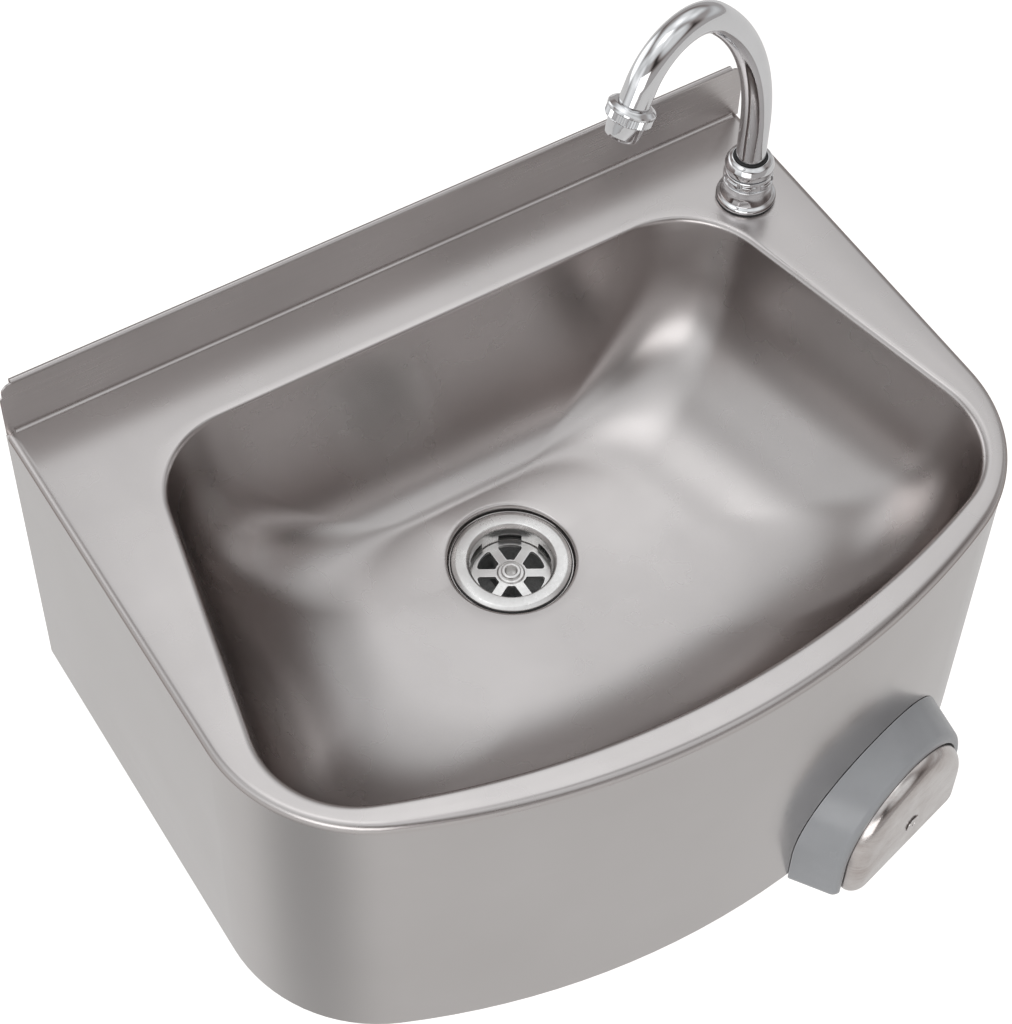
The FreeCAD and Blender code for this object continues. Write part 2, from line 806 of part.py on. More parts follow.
def make_aerator_body():
    foot = collar_foot()
    thread_r = aerator_r - collar_thread_wall
    thread_top = foot + aerator_thread_h
    ledge = mesh_t + mesh_seat
    shape = revolved([(mesh_r, 0), (aerator_tip_r - aerator_tip_edge, 0), (aerator_tip_r, aerator_tip_edge_h),
                      (aerator_r, foot - touch), (thread_r, foot - touch), (thread_r, thread_top),
                      (mesh_r - mesh_ledge, thread_top), (mesh_r - mesh_ledge, ledge), (mesh_r, ledge)])
    for side in (-1, 1):
        flat = block(-aerator_r - over, aerator_r + over, aerator_flat, aerator_r + aerator_flat_depth,
                     -over, foot - aerator_flat_top)
        if side < 0:
            flat = flat.mirror(V(0, 0, 0), V(0, 1, 0))
        shape = shape.cut(flat)
    return at_spout_end(shape)


def make_aerator_mesh():
    shape = cylinder(mesh_r - touch, mesh_seat, mesh_seat + mesh_t - touch)
    rings = int((mesh_r - mesh_ledge) / mesh_pitch)
    low, high = mesh_seat - over, mesh_seat + mesh_t + over
    holes = [cylinder(mesh_hole_r, low, high)]
    for n in range(1, rings + 1):
        for k in range(6 * n):
            angle = 2 * math.pi * k / (6 * n)
            x, y = n * mesh_pitch * math.cos(angle), n * mesh_pitch * math.sin(angle)
            holes.append(cylinder(mesh_hole_r, low, high, x, y))
    return at_spout_end(shape.cut(Part.Compound(holes)))


# ---------------------------------------------------------------- knee unit

def knee_normal():
    angle = math.radians(knee_angle)
    return V(math.sin(angle), -math.cos(angle), 0)


def knee_centre():
    n = knee_normal()
    return V(skirt_r * n.x, front_centre_y + skirt_r * n.y, deck_z - knee_drop)


def on_knee(shape):
    """Moves a piece built about Z (out of the skirt), with Y up, to the knee unit's place."""
    angle = math.radians(knee_angle)
    c = knee_centre()
    n = knee_normal()
    matrix = FreeCAD.Matrix(math.cos(angle), 0, n.x, c.x,
                            math.sin(angle), 0, n.y, c.y,
                            0, 1, 0, c.z,
                            0, 0, 0, 1)
    shape.Placement = FreeCAD.Placement(matrix).multiply(shape.Placement)
    return shape


def arch(r, below, corner, z):
    """Arch outline: a half circle on straight sides that end in a flat foot."""
    foot = -below
    q = math.cos(math.radians(45)) * corner
    edges = [Part.Arc(V(r, 0, z), V(0, r, z), V(-r, 0, z)).toShape(),
             line(V(-r, 0, z), V(-r, foot + corner, z)),
             Part.Arc(V(-r, foot + corner, z), V(-r + corner - q, foot + corner - q, z),
                      V(-r + corner, foot, z)).toShape(),
             line(V(-r + corner, foot, z), V(r - corner, foot, z)),
             Part.Arc(V(r - corner, foot, z), V(r - corner + q, foot + corner - q, z),
                      V(r, foot + corner, z)).toShape(),
             line(V(r, foot + corner, z), V(r, 0, z))]
    return Part.Wire(edges)


def front_edges(shape, z):
    return [e for e in shape.Edges if e.BoundBox.ZMin > z - level]


def make_knee_housing():
    taper = (housing_back_r - housing_front_r) / housing_front
    root_r = housing_back_r + taper * housing_root
    outer = Part.makeLoft([arch(root_r, housing_below, housing_corner, -housing_root),
                           arch(housing_front_r, housing_below, housing_corner, housing_front)], True, True)
    outer = outer.makeFillet(housing_edge, front_edges(outer, housing_front))
    opening = prism(arch(opening_r, 2 * housing_below, housing_corner, cavity_back), housing_front)
    shape = outer.cut(opening)
    shape = shape.cut(cylinder(neck_thread_r + neck_room, -housing_root - over, housing_front))
    shape = on_knee(shape)
    place = V(0, front_centre_y, deck_z - 2 * body_height)
    return shape.cut(Part.makeCylinder(skirt_r + housing_gap, 2 * body_height, place))


def plate_r():
    return opening_r - plate_gap


def plate_below():
    return housing_below - plate_gap


def make_knee_plate():
    inner_face = plate_face - plate_sheet
    outer = prism(arch(plate_r(), plate_below(), plate_corner, plate_back), plate_face - plate_back)
    outer = outer.makeFillet(plate_edge, front_edges(outer, plate_face))
    room = arch(plate_r() - plate_sheet, plate_below() - plate_sheet, plate_corner - plate_sheet,
                plate_back - over)
    inner = prism(room, inner_face - plate_back + over)
    inner = inner.makeFillet(plate_edge - plate_sheet, front_edges(inner, inner_face))
    shape = outer.cut(inner).fuse(cylinder(plate_boss_r, boss_end(), inner_face + bite))
    shape = shape.cut(cylinder(plate_screw_r + touch, boss_end() - over, plate_face + over))
    shape = shape.cut(plate_screw_head(touch, over))
    return on_knee(shape)


def plate_screw_head(grow, above):
    r = plate_screw_head_r + grow
    return revolved([(0, plate_face - plate_screw_head_r + plate_screw_r - grow),
                     (plate_screw_r + grow, plate_face - plate_screw_head_r + plate_screw_r - grow),
                     (r, plate_face - grow), (r, plate_face + above), (0, plate_face + above)])


def make_plate_screw():
    head = plate_screw_head(0.0, 0.0)
    shank = cylinder(plate_screw_r, plate_face - plate_screw_length, plate_face - plate_slot_depth)
    slot = block(-plate_slot_w / 2, plate_slot_w / 2, -plate_slot_length / 2, plate_slot_length / 2,
                 plate_face - plate_slot_depth, plate_face + over)
    return on_knee(head.fuse(shank).cut(slot))


def boss_end():
    return plate_face - plate_sheet - plate_boss_h


def make_push_rod():
    stop = -chamber_front - stop_gap
    rod = cylinder(rod_r, stop, boss_end())
    rod = rod.fuse(cylinder(rod_collar_r, stop - rod_collar_h, stop))
    rod = rod.fuse(cylinder(rod_tail_r, stop - rod_collar_h - rod_tail_h, stop - rod_collar_h))
    hole = cylinder(plate_screw_r + touch, plate_face - plate_screw_length - over, boss_end() + over)
    return on_knee(rod.cut(hole))


def valve_shoulder():
    return -sheet - shoulder_gap


def make_valve_body():
    shape = cylinder(valve_r, valve_shoulder() - valve_collar_h, valve_shoulder())
    shape = shape.fuse(cylinder(neck_thread_r, valve_shoulder(), neck_front))
    shape = shape.fuse(cylinder(valve_tail_r, -valve_length, valve_shoulder() - valve_collar_h))
    chamber_back = -chamber_front - chamber_length
    shape = shape.cut(cylinder(chamber_r, chamber_back, -chamber_front))
    shape = shape.cut(cylinder(rod_r + running, -chamber_front - over, neck_front + over))
    shape = shape.cut(cylinder(seal_r, neck_front - seal_h, neck_front + over))
    return on_knee(shape)


def make_rod_seal():
    return on_knee(ring(seal_r - touch, rod_r + running, neck_front - seal_h + touch, neck_front))


def make_locknut():
    top = cavity_back + locknut_h
    nut = hex_prism(locknut_flats, cavity_back, top)
    return on_knee(nut.cut(cylinder(neck_thread_r + thread_gap, cavity_back - over, top + over)))


def make_push_spring():
    """Return spring behind the rod's collar, one unbroken wire on a helix."""
    top = -chamber_front - stop_gap - rod_collar_h - spring_wire_r - touch
    bottom = -chamber_front - chamber_length + spring_wire_r + touch
    mean = (rod_tail_r + chamber_r) / 2
    pitch = (top - bottom) / spring_turns
    turn_edges = []
    for k in range(4 * spring_turns):
        points = []
        for part in (0, 0.5, 1):
            angle = math.pi / 2 * (k + part)
            points.append(V(mean * math.cos(angle), mean * math.sin(angle),
                            bottom + pitch * (k + part) / 4))
        turn_edges.append(Part.Arc(*points).toShape())
    path = Part.Wire(turn_edges)
    start = V(mean, 0, bottom)
    course = turn_edges[0].tangentAt(turn_edges[0].FirstParameter)
    circle = Part.Wire([Part.Circle(start, course, spring_wire_r).toShape()])
    print("push_spring gap between turns", round(pitch - 2 * spring_wire_r, 2))
    return on_knee(path.makePipeShell([circle], True, False))


# ---------------------------------------------------------------- water supply inside the body

def manifold_centre():
    n = knee_normal()
    c = knee_centre()
    run = valve_length + manifold_d / 2 - valve_in_manifold
    return V(c.x - run * n.x, c.y - run * n.y, c.z)


def make_manifold():
    c = manifold_centre()
    shape = block(c.x - manifold_w / 2, c.x + manifold_w / 2, c.y - manifold_d / 2, c.y + manifold_d / 2,
                  c.z - manifold_h / 2, c.z + manifold_h / 2)
    shape = shape.makeFillet(manifold_edge, shape.Edges)
    plug = on_knee(cylinder(valve_tail_r + touch, -valve_length - touch, neck_front))
    shape = shape.cut(plug)
    for x in inlet_places():
        shape = shape.cut(Part.makeCylinder(nipple_bore_r, manifold_d / 2, V(x, c.y, c.z), V(0, 1, 0)))
    outlet = cylinder(nipple_r, c.z + manifold_h / 2 - bite, c.z + manifold_h / 2 + pipe_nut_cup, c.x, c.y)
    shape = shape.fuse(outlet)
    return shape.cut(cylinder(pipe_bore_r, c.z, c.z + manifold_h, c.x, c.y))


def inlet_places():
    c = manifold_centre()
    return (c.x - inlet_spacing / 2, c.x + inlet_spacing / 2)


def make_inlet_nipples():
    c = manifold_centre()
    face = c.y + manifold_d / 2
    solids = []
    for x in inlet_places():
        collar = hex_prism(nipple_flats, 0, nipple_collar_h)
        end = nipple_collar_h + nipple_length
        thread = cylinder(nipple_r, nipple_collar_h, end)
        nipple = collar.fuse(thread).cut(cylinder(nipple_bore_r, -over, end + over))
        nipple.rotate(V(0, 0, 0), V(1, 0, 0), -90)
        nipple.translate(V(x, face, c.z))
        solids.append(nipple)
    return Part.Compound(solids)


def pipe_ends():
    c = manifold_centre()
    low = V(c.x, c.y, c.z + manifold_h / 2 + pipe_nut_cup + touch)
    high = V(tap_x, tap_y, deck_z - shank_length - pipe_nut_cup - touch)
    return low, high


def make_riser_pipe():
    """Bent pipe from the valve to the spout: up, level under the bowl, and up again."""
    low, high = pipe_ends()
    first = V(low.x, low.y, pipe_run_z)
    second = V(high.x, high.y, pipe_run_z)
    level = second.sub(first).normalize()
    r = pipe_bend_r
    bend = math.cos(math.radians(45))
    a = V(low.x, low.y, pipe_run_z - r)
    b = first.add(level * r)
    mid_a = a.add(level * (r - r * bend)).add(V(0, 0, r * bend))
    c = second.sub(level * r)
    d = V(high.x, high.y, pipe_run_z + r)
    mid_c = c.add(level * (r * bend)).add(V(0, 0, r - r * bend))
    path = Part.Wire([line(low, a), Part.Arc(a, mid_a, b).toShape(), line(b, c),
                      Part.Arc(c, mid_c, d).toShape(), line(d, high)])
    outer = swept_tube(path, pipe_r)
    return outer.cut(swept_tube(path, pipe_bore_r))


def pipe_nut():
    nut = hex_prism(pipe_nut_flats, 0, pipe_nut_h)
    nut = nut.cut(cylinder(nipple_r + thread_gap, -over, pipe_nut_cup))
    return nut.cut(cylinder(pipe_r + touch, 0, pipe_nut_h + over))


def make_pipe_nuts():
    c = manifold_centre()
    lower = pipe_nut()
    lower.translate(V(c.x, c.y, c.z + manifold_h / 2 + touch))
    upper = pipe_nut()
    upper.rotate(V(0, 0, 0), V(1, 0, 0), 180)
    upper.translate(V(tap_x, tap_y, deck_z - shank_length - touch))
    return Part.Compound([lower, upper])


# ---------------------------------------------------------------- pieces

pieces = {
    "basin": make_basin,
    "skirt": make_skirt,
    "waste_flange": make_waste_flange,
    "waste_grid": make_waste_grid,
    "waste_screw": make_waste_screw,
    "waste_body": make_waste_body,
    "flange_gasket": make_flange_gasket,
    "under_gasket": make_under_gasket,
    "base_gasket": make_base_gasket,
    "spout_base": make_spout_base,
    "lock_ring": make_lock_ring,
    "cap_nut": make_cap_nut,
    "spout_seal": make_spout_seal,
    "spout_washer": make_spout_washer,
    "spout_backnut": make_spout_backnut,
    "spout_tube": make_spout_tube,
    "tube_collar": make_tube_collar,
    "spout_o_rings": make_o_rings,
    "aerator_collar": make_aerator_collar,
    "aerator_body": make_aerator_body,
    "aerator_mesh": make_aerator_mesh,
    "knee_housing": make_knee_housing,
    "knee_plate": make_knee_plate,
    "plate_screw": make_plate_screw,
    "push_rod": make_push_rod,
    "push_spring": make_push_spring,
    "rod_seal": make_rod_seal,
    "valve_locknut": make_locknut,
    "valve_body": make_valve_body,
    "manifold": make_manifold,
    "inlet_nipples": make_inlet_nipples,
    "riser_pipe": make_riser_pipe,
    "pipe_nuts": make_pipe_nuts,
}

os.makedirs("parts", exist_ok=True)
for name, make in pieces.items():
    shape = make()
    shape.exportStep(os.path.join("parts", name + ".step"))
    box = shape.BoundBox
    print(f"{name:16s} solids {len(shape.Solids)} valid {shape.isValid()} volume {shape.Volume:9.0f}"
          f"  x {box.XMin:7.1f} {box.XMax:7.1f}  y {box.YMin:7.1f} {box.YMax:7.1f}"
          f"  z {box.ZMin:7.1f} {box.ZMax:7.1f}")
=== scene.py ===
import json
import math

import bmesh
import bpy
from mathutils import Matrix, Vector


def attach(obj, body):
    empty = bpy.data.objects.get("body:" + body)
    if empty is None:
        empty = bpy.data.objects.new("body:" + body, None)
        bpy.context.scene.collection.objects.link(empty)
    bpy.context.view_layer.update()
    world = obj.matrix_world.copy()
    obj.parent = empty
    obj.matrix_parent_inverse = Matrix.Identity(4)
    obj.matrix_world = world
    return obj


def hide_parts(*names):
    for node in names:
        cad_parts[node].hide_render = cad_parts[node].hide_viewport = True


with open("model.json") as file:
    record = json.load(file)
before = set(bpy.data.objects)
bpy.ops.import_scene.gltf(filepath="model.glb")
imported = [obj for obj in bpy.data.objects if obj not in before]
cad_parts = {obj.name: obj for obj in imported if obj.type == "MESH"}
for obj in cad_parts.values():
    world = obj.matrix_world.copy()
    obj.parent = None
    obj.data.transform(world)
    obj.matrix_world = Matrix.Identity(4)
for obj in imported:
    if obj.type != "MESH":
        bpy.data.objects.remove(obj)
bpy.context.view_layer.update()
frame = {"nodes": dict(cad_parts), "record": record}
nodes = frame["nodes"]

# ---------------------------------------------------------------- sizes, in millimetres

MM = 0.001
HALF_WIDTH = 200.0
DECK_Z = 90.0
SHEET = 1.0
CORNER_R = 80.0
FRONT_R = 382.0
FRONT_CENTRE_Y = 82.0
EDGE_ROLL = 4.0
EDGE_LIP = 4.6

UPSTAND_DEPTH = 3.5
UPSTAND_HEIGHT = 33.0
UPSTAND_CREASE = 2.0
DECK_REAR_Y = -UPSTAND_DEPTH - UPSTAND_CREASE
HEM_SHORT = 6.5
TAB_DROP = 1.0
TAB_CORNER = 5.0
TAB_STEP_RISE = 24.0
TAB_STEP = 1.2

RIM_REAR = 42.5
RIM_REACH = 136.2
RIM_TILT = 12.0
RIM_FRONT_R = 420.0
RIM_FRONT_Y = 137.5
RIM_REAR_CORNER = 45.0
RIM_FRONT_CORNER = 48.0
RIM_ROUND = 3.2
WALL_DRAFT = 10.0
FLOOR_ROUND = 90.0
FLOOR_SLOPE = 2.5
FLOOR_DEPTH = 102.0
REAR_SHARE = 0.38  # the rear wall goes in by this share of what the other walls go in
BOWL_MIDDLE = (0.0, -150.0)

DRAIN = (0.0, -116.7)
SEAT_TOP_Z = -14.4
SEAT_Z = -17.3
SEAT_OUTER_R = 33.0
SEAT_ROUND = 1.8
SEAT_R = 30.8
DRAIN_HOLE_R = 23.4

FLANGE_TOP_Z = -15.0
GRID_TOP_Z = -26.0
GRID_T = 1.8
GRID_R = 19.7
WINDOW_OUTER = 17.0
WINDOW_INNER = 7.9
SPOKES = 6
SPOKE_W = 4.6
FIRST_WINDOW = math.radians(60.0)
SLOT_SIZE = (6.0, 11.5, 3.8)
SLOT_R = 22.0
SLOT_RISE = 2.2
WASTE_SCREW_FOOT_Z = -48.8

TAP = (171.0, -52.0)
SPOUT_TURN = math.radians(194.0)
TUBE_R = 7.25
TUBE_BORE_R = 6.0
TUBE_FOOT = 6.5
TUBE_END_SHORT = 12.2  # the tube ends this far short of the spout's tip
RISER_TOP = 48.0
NECK_R = 133.0
NECK_SWEEP = math.radians(45.0)
CROOK_R = 30.0
CROOK_END = math.radians(154.0)
SPOUT_RUN = 25.0
LOCK_NOTCHES = 8
NOTCH_SIZE = (2.4, 3.0, 5.6)
NOTCH_R = 12.6
NOTCH_RISE = 15.9
KNURLS = 56
KNURL_DEPTH = 0.5

KNEE_TURN = math.radians(15.3)
KNEE_Z = -75.0
SKIRT_R = 381.6
HOUSING_BACK_R = 54.4
HOUSING_FRONT_R = 46.2
HOUSING_FRONT = 19.0
HOUSING_BELOW = 26.5
HOUSING_CORNER = 8.0
HOUSING_EDGE = 2.6
HOUSING_GAP = 0.25
OPENING_R = 42.0
CAVITY_BACK = 3.5
NECK_HOLE_R = 13.3
PLATE_R = 41.0
PLATE_BELOW = 25.5
PLATE_CORNER = 8.0
PLATE_FACE = 26.5
PLATE_BACK = 13.0
PLATE_EDGE = 7.2
PLATE_CROWN = 0.5
SCREW_MOUTH_R = 5.4


# ---------------------------------------------------------------- making meshes by hand

def put_down():
    """Leaves edit mode and lets go of everything."""
    if bpy.context.object and bpy.context.object.mode != "OBJECT":
        bpy.ops.object.mode_set(mode="OBJECT")
    bpy.ops.object.select_all(action="DESELECT")


def take_up(*pieces):
    put_down()
    for piece in pieces:
        piece.select_set(True)
    bpy.context.view_layer.objects.active = pieces[0]


def spot_key(spot):
    return tuple(round(value, 6) for value in spot)


def draw_rings(name, rings, closed=True, caps=False):
    """Extrudes an outline from ring to ring. Every ring has as many points as the first."""
    put_down()
    bpy.ops.mesh.primitive_circle_add(vertices=len(rings[0]), radius=1.0)
    piece = bpy.context.object
    piece.name = piece.data.name = name
    last = [Vector(spot) * MM for spot in rings[0]]
    for vertex, spot in zip(piece.data.vertices, last):
        vertex.co = spot
    bpy.ops.object.mode_set(mode="EDIT")
    if caps:
        bpy.ops.mesh.select_all(action="SELECT")
        bpy.ops.mesh.edge_face_add()
        bpy.ops.mesh.select_mode(type="FACE")
    if not closed:
        open_outline(piece)
    bpy.ops.mesh.select_all(action="SELECT")
    for ring in rings[1:]:
        spots = [Vector(spot) * MM for spot in ring]
        goes_to = {spot_key(old): new for old, new in zip(last, spots)}
        bpy.ops.mesh.extrude_region_move()
        mesh = bmesh.from_edit_mesh(piece.data)
        for vertex in mesh.verts:
            if vertex.select:
                vertex.co = goes_to[spot_key(vertex.co)]
        bmesh.update_edit_mesh(piece.data)
        last = spots
    bpy.ops.mesh.select_mode(type="VERT")
    bpy.ops.object.mode_set(mode="OBJECT")
    if caps:
        face_outwards(piece)
    return piece


def open_outline(piece):
    """Takes out the edge between an outline's last point and its first."""
    bpy.ops.mesh.select_mode(type="EDGE")
    bpy.ops.mesh.select_all(action="DESELECT")
    mesh = bmesh.from_edit_mesh(piece.data)
    ends = {0, len(mesh.verts) - 1}
    for edge in mesh.edges:
        edge.select = {vertex.index for vertex in edge.verts} == ends
    bmesh.update_edit_mesh(piece.data)
    bpy.ops.mesh.delete(type="EDGE")


def edit_all(piece, operator, **settings):
    """Runs one edit mode operator on the whole of a piece."""
    take_up(piece)
    bpy.ops.object.mode_set(mode="EDIT")
    bpy.ops.mesh.select_all(action="SELECT")
    operator(**settings)
    bpy.ops.object.mode_set(mode="OBJECT")


def face_outwards(piece):
    edit_all(piece, bpy.ops.mesh.normals_make_consistent, inside=False)


def merge_doubles(piece):
    edit_all(piece, bpy.ops.mesh.remove_doubles, threshold=0.01 * MM)


def close_ring(piece):
    """Bridges a ring piece's first and last outline, so that it is closed."""
    take_up(piece)
    bpy.ops.object.mode_set(mode="EDIT")
    bpy.ops.mesh.select_all(action="DESELECT")
    bpy.ops.mesh.select_mode(type="EDGE")
    bpy.ops.mesh.select_non_manifold()
    bpy.ops.mesh.bridge_edge_loops()
    bpy.ops.mesh.select_mode(type="VERT")
    bpy.ops.object.mode_set(mode="OBJECT")
    face_outwards(piece)


def join(first, *others):
    take_up(first, *others)
    bpy.ops.object.join()
    return first


def apply_modifier(piece, kind, **settings):
    take_up(piece)
    modifier = piece.modifiers.new(kind.lower(), kind)
    for key, value in settings.items():
        setattr(modifier, key, value)
    bpy.ops.object.modifier_apply(modifier=modifier.name)


def bevel_edges(piece, width, segments, least_angle):
    apply_modifier(piece, "BEVEL", width=width * MM, segments=segments, limit_method="ANGLE",
                   angle_limit=math.radians(least_angle))


def cut_away(piece, cutter):
    apply_modifier(piece, "BOOLEAN", operation="DIFFERENCE", object=cutter, solver="EXACT")
    bpy.data.objects.remove(cutter)


def block_cutter(place, size, turn=0.0):
    """A block to cut with: its middle and size in millimetres, turned about the vertical."""
    put_down()
    bpy.ops.mesh.primitive_cube_add(size=1.0)
    cutter = bpy.context.object
    cutter.scale = Vector(size) * MM
    cutter.rotation_euler = (0, 0, turn)
    cutter.location = Vector(place) * MM
    return cutter


def move_to(piece, matrix):
    take_up(piece)
    piece.matrix_world = matrix
    bpy.ops.object.transform_apply(location=True, rotation=True, scale=True)


def finish(piece, body, finish_name, *stands_for, angle=35, slot=None):
    """Gives a piece its material and the body it rides, and hides the CAD nodes it stands for."""
    take_up(piece)
    bpy.ops.object.shade_smooth_by_angle(angle=math.radians(angle))
    piece.data.materials.clear()
    piece.data.materials.append(finishes[finish_name])
    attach(piece, body)
    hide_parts(*stands_for)


def turned(name, centre, profile, sides=72, caps=True):
    """A turned piece on a vertical axis, from its profile of (radius, height) points."""
    turns = [2 * math.pi * k / sides for k in range(sides)]
    rings = [[(centre[0] + r * math.cos(a), centre[1] + r * math.sin(a), z) for a in turns]
             for r, z in profile]
    return draw_rings(name, rings, caps=caps)


def turned_ring(name, centre, profile, sides=72):
    """A turned piece with a hole, whose profile starts and ends at the hole's wall."""
    ring = turned(name, centre, profile, sides, caps=False)
    close_ring(ring)
    return ring


# ---------------------------------------------------------------- outlines

REAR_STEPS = 40
CORNER_STEPS = 24
SIDE_STEPS = 24
FRONT_STEPS = 48
OUTLINE_STEPS = REAR_STEPS + FRONT_STEPS + 2 * (2 * CORNER_STEPS + SIDE_STEPS)
CORNER_POINT = 10  # the point of the bowl's rear rounds that the deck's rear corners stand beside
REAR_RIGHT = REAR_STEPS + CORNER_POINT
REAR_LEFT = OUTLINE_STEPS - CORNER_POINT


def rounded(corners, steps=4):
    """A profile of (radius, height, rounding) corners as points, with arcs at the rounded ones."""
    points = []
    for k, (r, z, blend) in enumerate(corners):
        here = Vector((r, z))
        if not blend or k in (0, len(corners) - 1):
            points.append((r, z))
            continue
        back = (Vector(corners[k - 1][:2]) - here).normalized()
        on = (Vector(corners[k + 1][:2]) - here).normalized()
        half = back.angle(on) / 2
        reach = blend / math.tan(half)
        start, end = here + back * reach, here + on * reach
        centre = here + (back + on).normalized() * (blend / math.sin(half))
        for step in range(steps + 1):
            arm = (start - centre).lerp(end - centre, step / steps)
            points.append(tuple(centre + arm.normalized() * blend))
    return points


def span(a, b, count):
    """Points from a towards b, without b."""
    return [(a[0] + (b[0] - a[0]) * k / count, a[1] + (b[1] - a[1]) * k / count) for k in range(count)]


def arc(centre, r, start, end, steps):
    """Points on an arc with both its ends, angles in degrees."""
    turns = [math.radians(start + (end - start) * k / steps) for k in range(steps + 1)]
    return [(centre[0] + r * math.cos(turn), centre[1] + r * math.sin(turn)) for turn in turns]


def sweep(centre, r, start, end, steps):
    """Points on an arc without its last point."""
    return arc(centre, r, start, end, steps)[:-1]


def shares(count):
    """Even shares of a run, from its first step to the whole."""
    return [step / count for step in range(1, count + 1)]


def blend_outlines(a, b, share):
    return [(p[0] + (q[0] - p[0]) * share, p[1] + (q[1] - p[1]) * share) for p, q in zip(a, b)]


def at_height(outline, z):
    return [(x, y, z) for x, y in outline]


def around(centre, r, turn, z):
    """A place on a level circle."""
    return centre[0] + r * math.cos(turn), centre[1] + r * math.sin(turn), z


def corner_centre(reach, tilt, arc_y, arc_r, r):
    """Centre of the corner round that touches a side line, tilted in degrees, and the front arc."""
    nx, ny = math.cos(math.radians(tilt)), math.sin(math.radians(tilt))
    gx, gy = (reach - r) * nx, (reach - r) * ny - arc_y
    along = gx * ny - gy * nx
    down = -along + math.sqrt(along ** 2 - gx ** 2 - gy ** 2 + (arc_r - r) ** 2)
    return gx + down * ny, gy + arc_y - down * nx


def bowl_outline(inset):
    """The bowl's outline, clockwise from the left end of its rear line."""
    tilt = math.radians(RIM_TILT)
    reach = RIM_REACH - inset
    front_r = RIM_FRONT_R - inset
    rear = -RIM_REAR - REAR_SHARE * inset
    rear_y = rear - RIM_REAR_CORNER
    rear_x = (reach - RIM_REAR_CORNER - math.sin(tilt) * rear_y) / math.cos(tilt)
    front_x, front_y = corner_centre(reach, RIM_TILT, RIM_FRONT_Y, front_r, RIM_FRONT_CORNER)
    turn = math.degrees(math.atan2(front_y - RIM_FRONT_Y, front_x))
    line_start = (rear_x + RIM_REAR_CORNER * math.cos(tilt), rear_y + RIM_REAR_CORNER * math.sin(tilt))
    line_end = (front_x + RIM_FRONT_CORNER * math.cos(tilt), front_y + RIM_FRONT_CORNER * math.sin(tilt))
    side = sweep((rear_x, rear_y), RIM_REAR_CORNER, 90, RIM_TILT, CORNER_STEPS)
    side += span(line_start, line_end, SIDE_STEPS)
    side += arc((front_x, front_y), RIM_FRONT_CORNER, RIM_TILT, turn, CORNER_STEPS)
    front = sweep((0, RIM_FRONT_Y), front_r, turn, -180 - turn, FRONT_STEPS)
    rear_line = span((-rear_x, rear), (rear_x, rear), REAR_STEPS)
    return rear_line + side[:-1] + front + [(-x, y) for x, y in reversed(side[1:])]


def deck_point(aim, inset):
    """Where a ray from the bowl's middle through aim meets the deck's outline."""
    across = abs(aim[0] - BOWL_MIDDLE[0])
    along = aim[1] - BOWL_MIDDLE[1]
    side, corner_r, front_r = HALF_WIDTH - inset, CORNER_R - inset, FRONT_R - inset
    corner_x, corner_y = corner_centre(side, 0, FRONT_CENTRE_Y, front_r, corner_r)

    def meet(centre_x, centre_y, r):
        """Where the ray leaves a circle."""
        from_x, from_y = BOWL_MIDDLE[0] - centre_x, BOWL_MIDDLE[1] - centre_y
        square = across ** 2 + along ** 2
        lean = from_x * across + from_y * along
        rest = from_x ** 2 + from_y ** 2 - r ** 2
        reach = (math.sqrt(lean * lean - square * rest) - lean) / square
        return reach * across, BOWL_MIDDLE[1] + reach * along

    if along > 0 and across * (DECK_REAR_Y - BOWL_MIDDLE[1]) <= side * along:
        spot = across * (DECK_REAR_Y - BOWL_MIDDLE[1]) / along, DECK_REAR_Y
    elif BOWL_MIDDLE[1] + along * side / across >= corner_y:
        spot = side, BOWL_MIDDLE[1] + along * side / across
    else:
        spot = meet(0, FRONT_CENTRE_Y, front_r)
        if spot[0] * (FRONT_CENTRE_Y - corner_y) > corner_x * (FRONT_CENTRE_Y - spot[1]):
            spot = meet(corner_x, corner_y, corner_r)
    return math.copysign(spot[0], aim[0]), spot[1]


def deck_outline(inset):
    """The deck's outline, point for point outside the bowl's, with its rear corners kept sharp."""
    outline = [deck_point(aim, inset) for aim in bowl_outline(0)]
    outline[REAR_RIGHT] = (HALF_WIDTH - inset, DECK_REAR_Y)
    outline[REAR_LEFT] = (inset - HALF_WIDTH, DECK_REAR_Y)
    return outline


def drain_circle(like, r):
    """A circle about the drain with its points in line with those of an outline."""
    points = []
    for x, y in like:
        away = Vector((x - DRAIN[0], y - DRAIN[1])).normalized()
        points.append((DRAIN[0] + r * away.x, DRAIN[1] + r * away.y))
    return points


def arch_outline(r, below, corner):
    """A closed arch: half a circle on straight sides with a flat foot and round corners."""
    points = sweep((0, 0), r, 0, 180, 48)
    points += span((-r, 0), (-r, -below + corner), 10)
    points += sweep((-r + corner, -below + corner), corner, 180, 270, 12)
    points += span((-r + corner, -below), (r - corner, -below), 24)
    points += sweep((r - corner, -below + corner), corner, 270, 360, 12)
    points += span((r, -below + corner), (r, 0), 10)
    return points


# ---------------------------------------------------------------- basin

def bowl_profile():
    """The bowl wall from its rim to its floor: (inset, depth below the deck)."""
    draft = math.radians(WALL_DRAFT)
    points = arc((-RIM_ROUND * math.cos(draft), RIM_ROUND), RIM_ROUND, -90, -WALL_DRAFT, 8)
    inset, depth = points[-1]
    wall = FLOOR_DEPTH - depth - FLOOR_ROUND * (math.cos(math.radians(FLOOR_SLOPE)) - math.sin(draft))
    foot = (inset + wall * math.tan(draft), depth + wall)
    points += span(points[-1], foot, 4)[1:]
    bend = (foot[0] + FLOOR_ROUND * math.cos(draft), foot[1] - FLOOR_ROUND * math.sin(draft))
    return points + arc(bend, FLOOR_ROUND, 180 - WALL_DRAFT, 90 + FLOOR_SLOPE, 24)


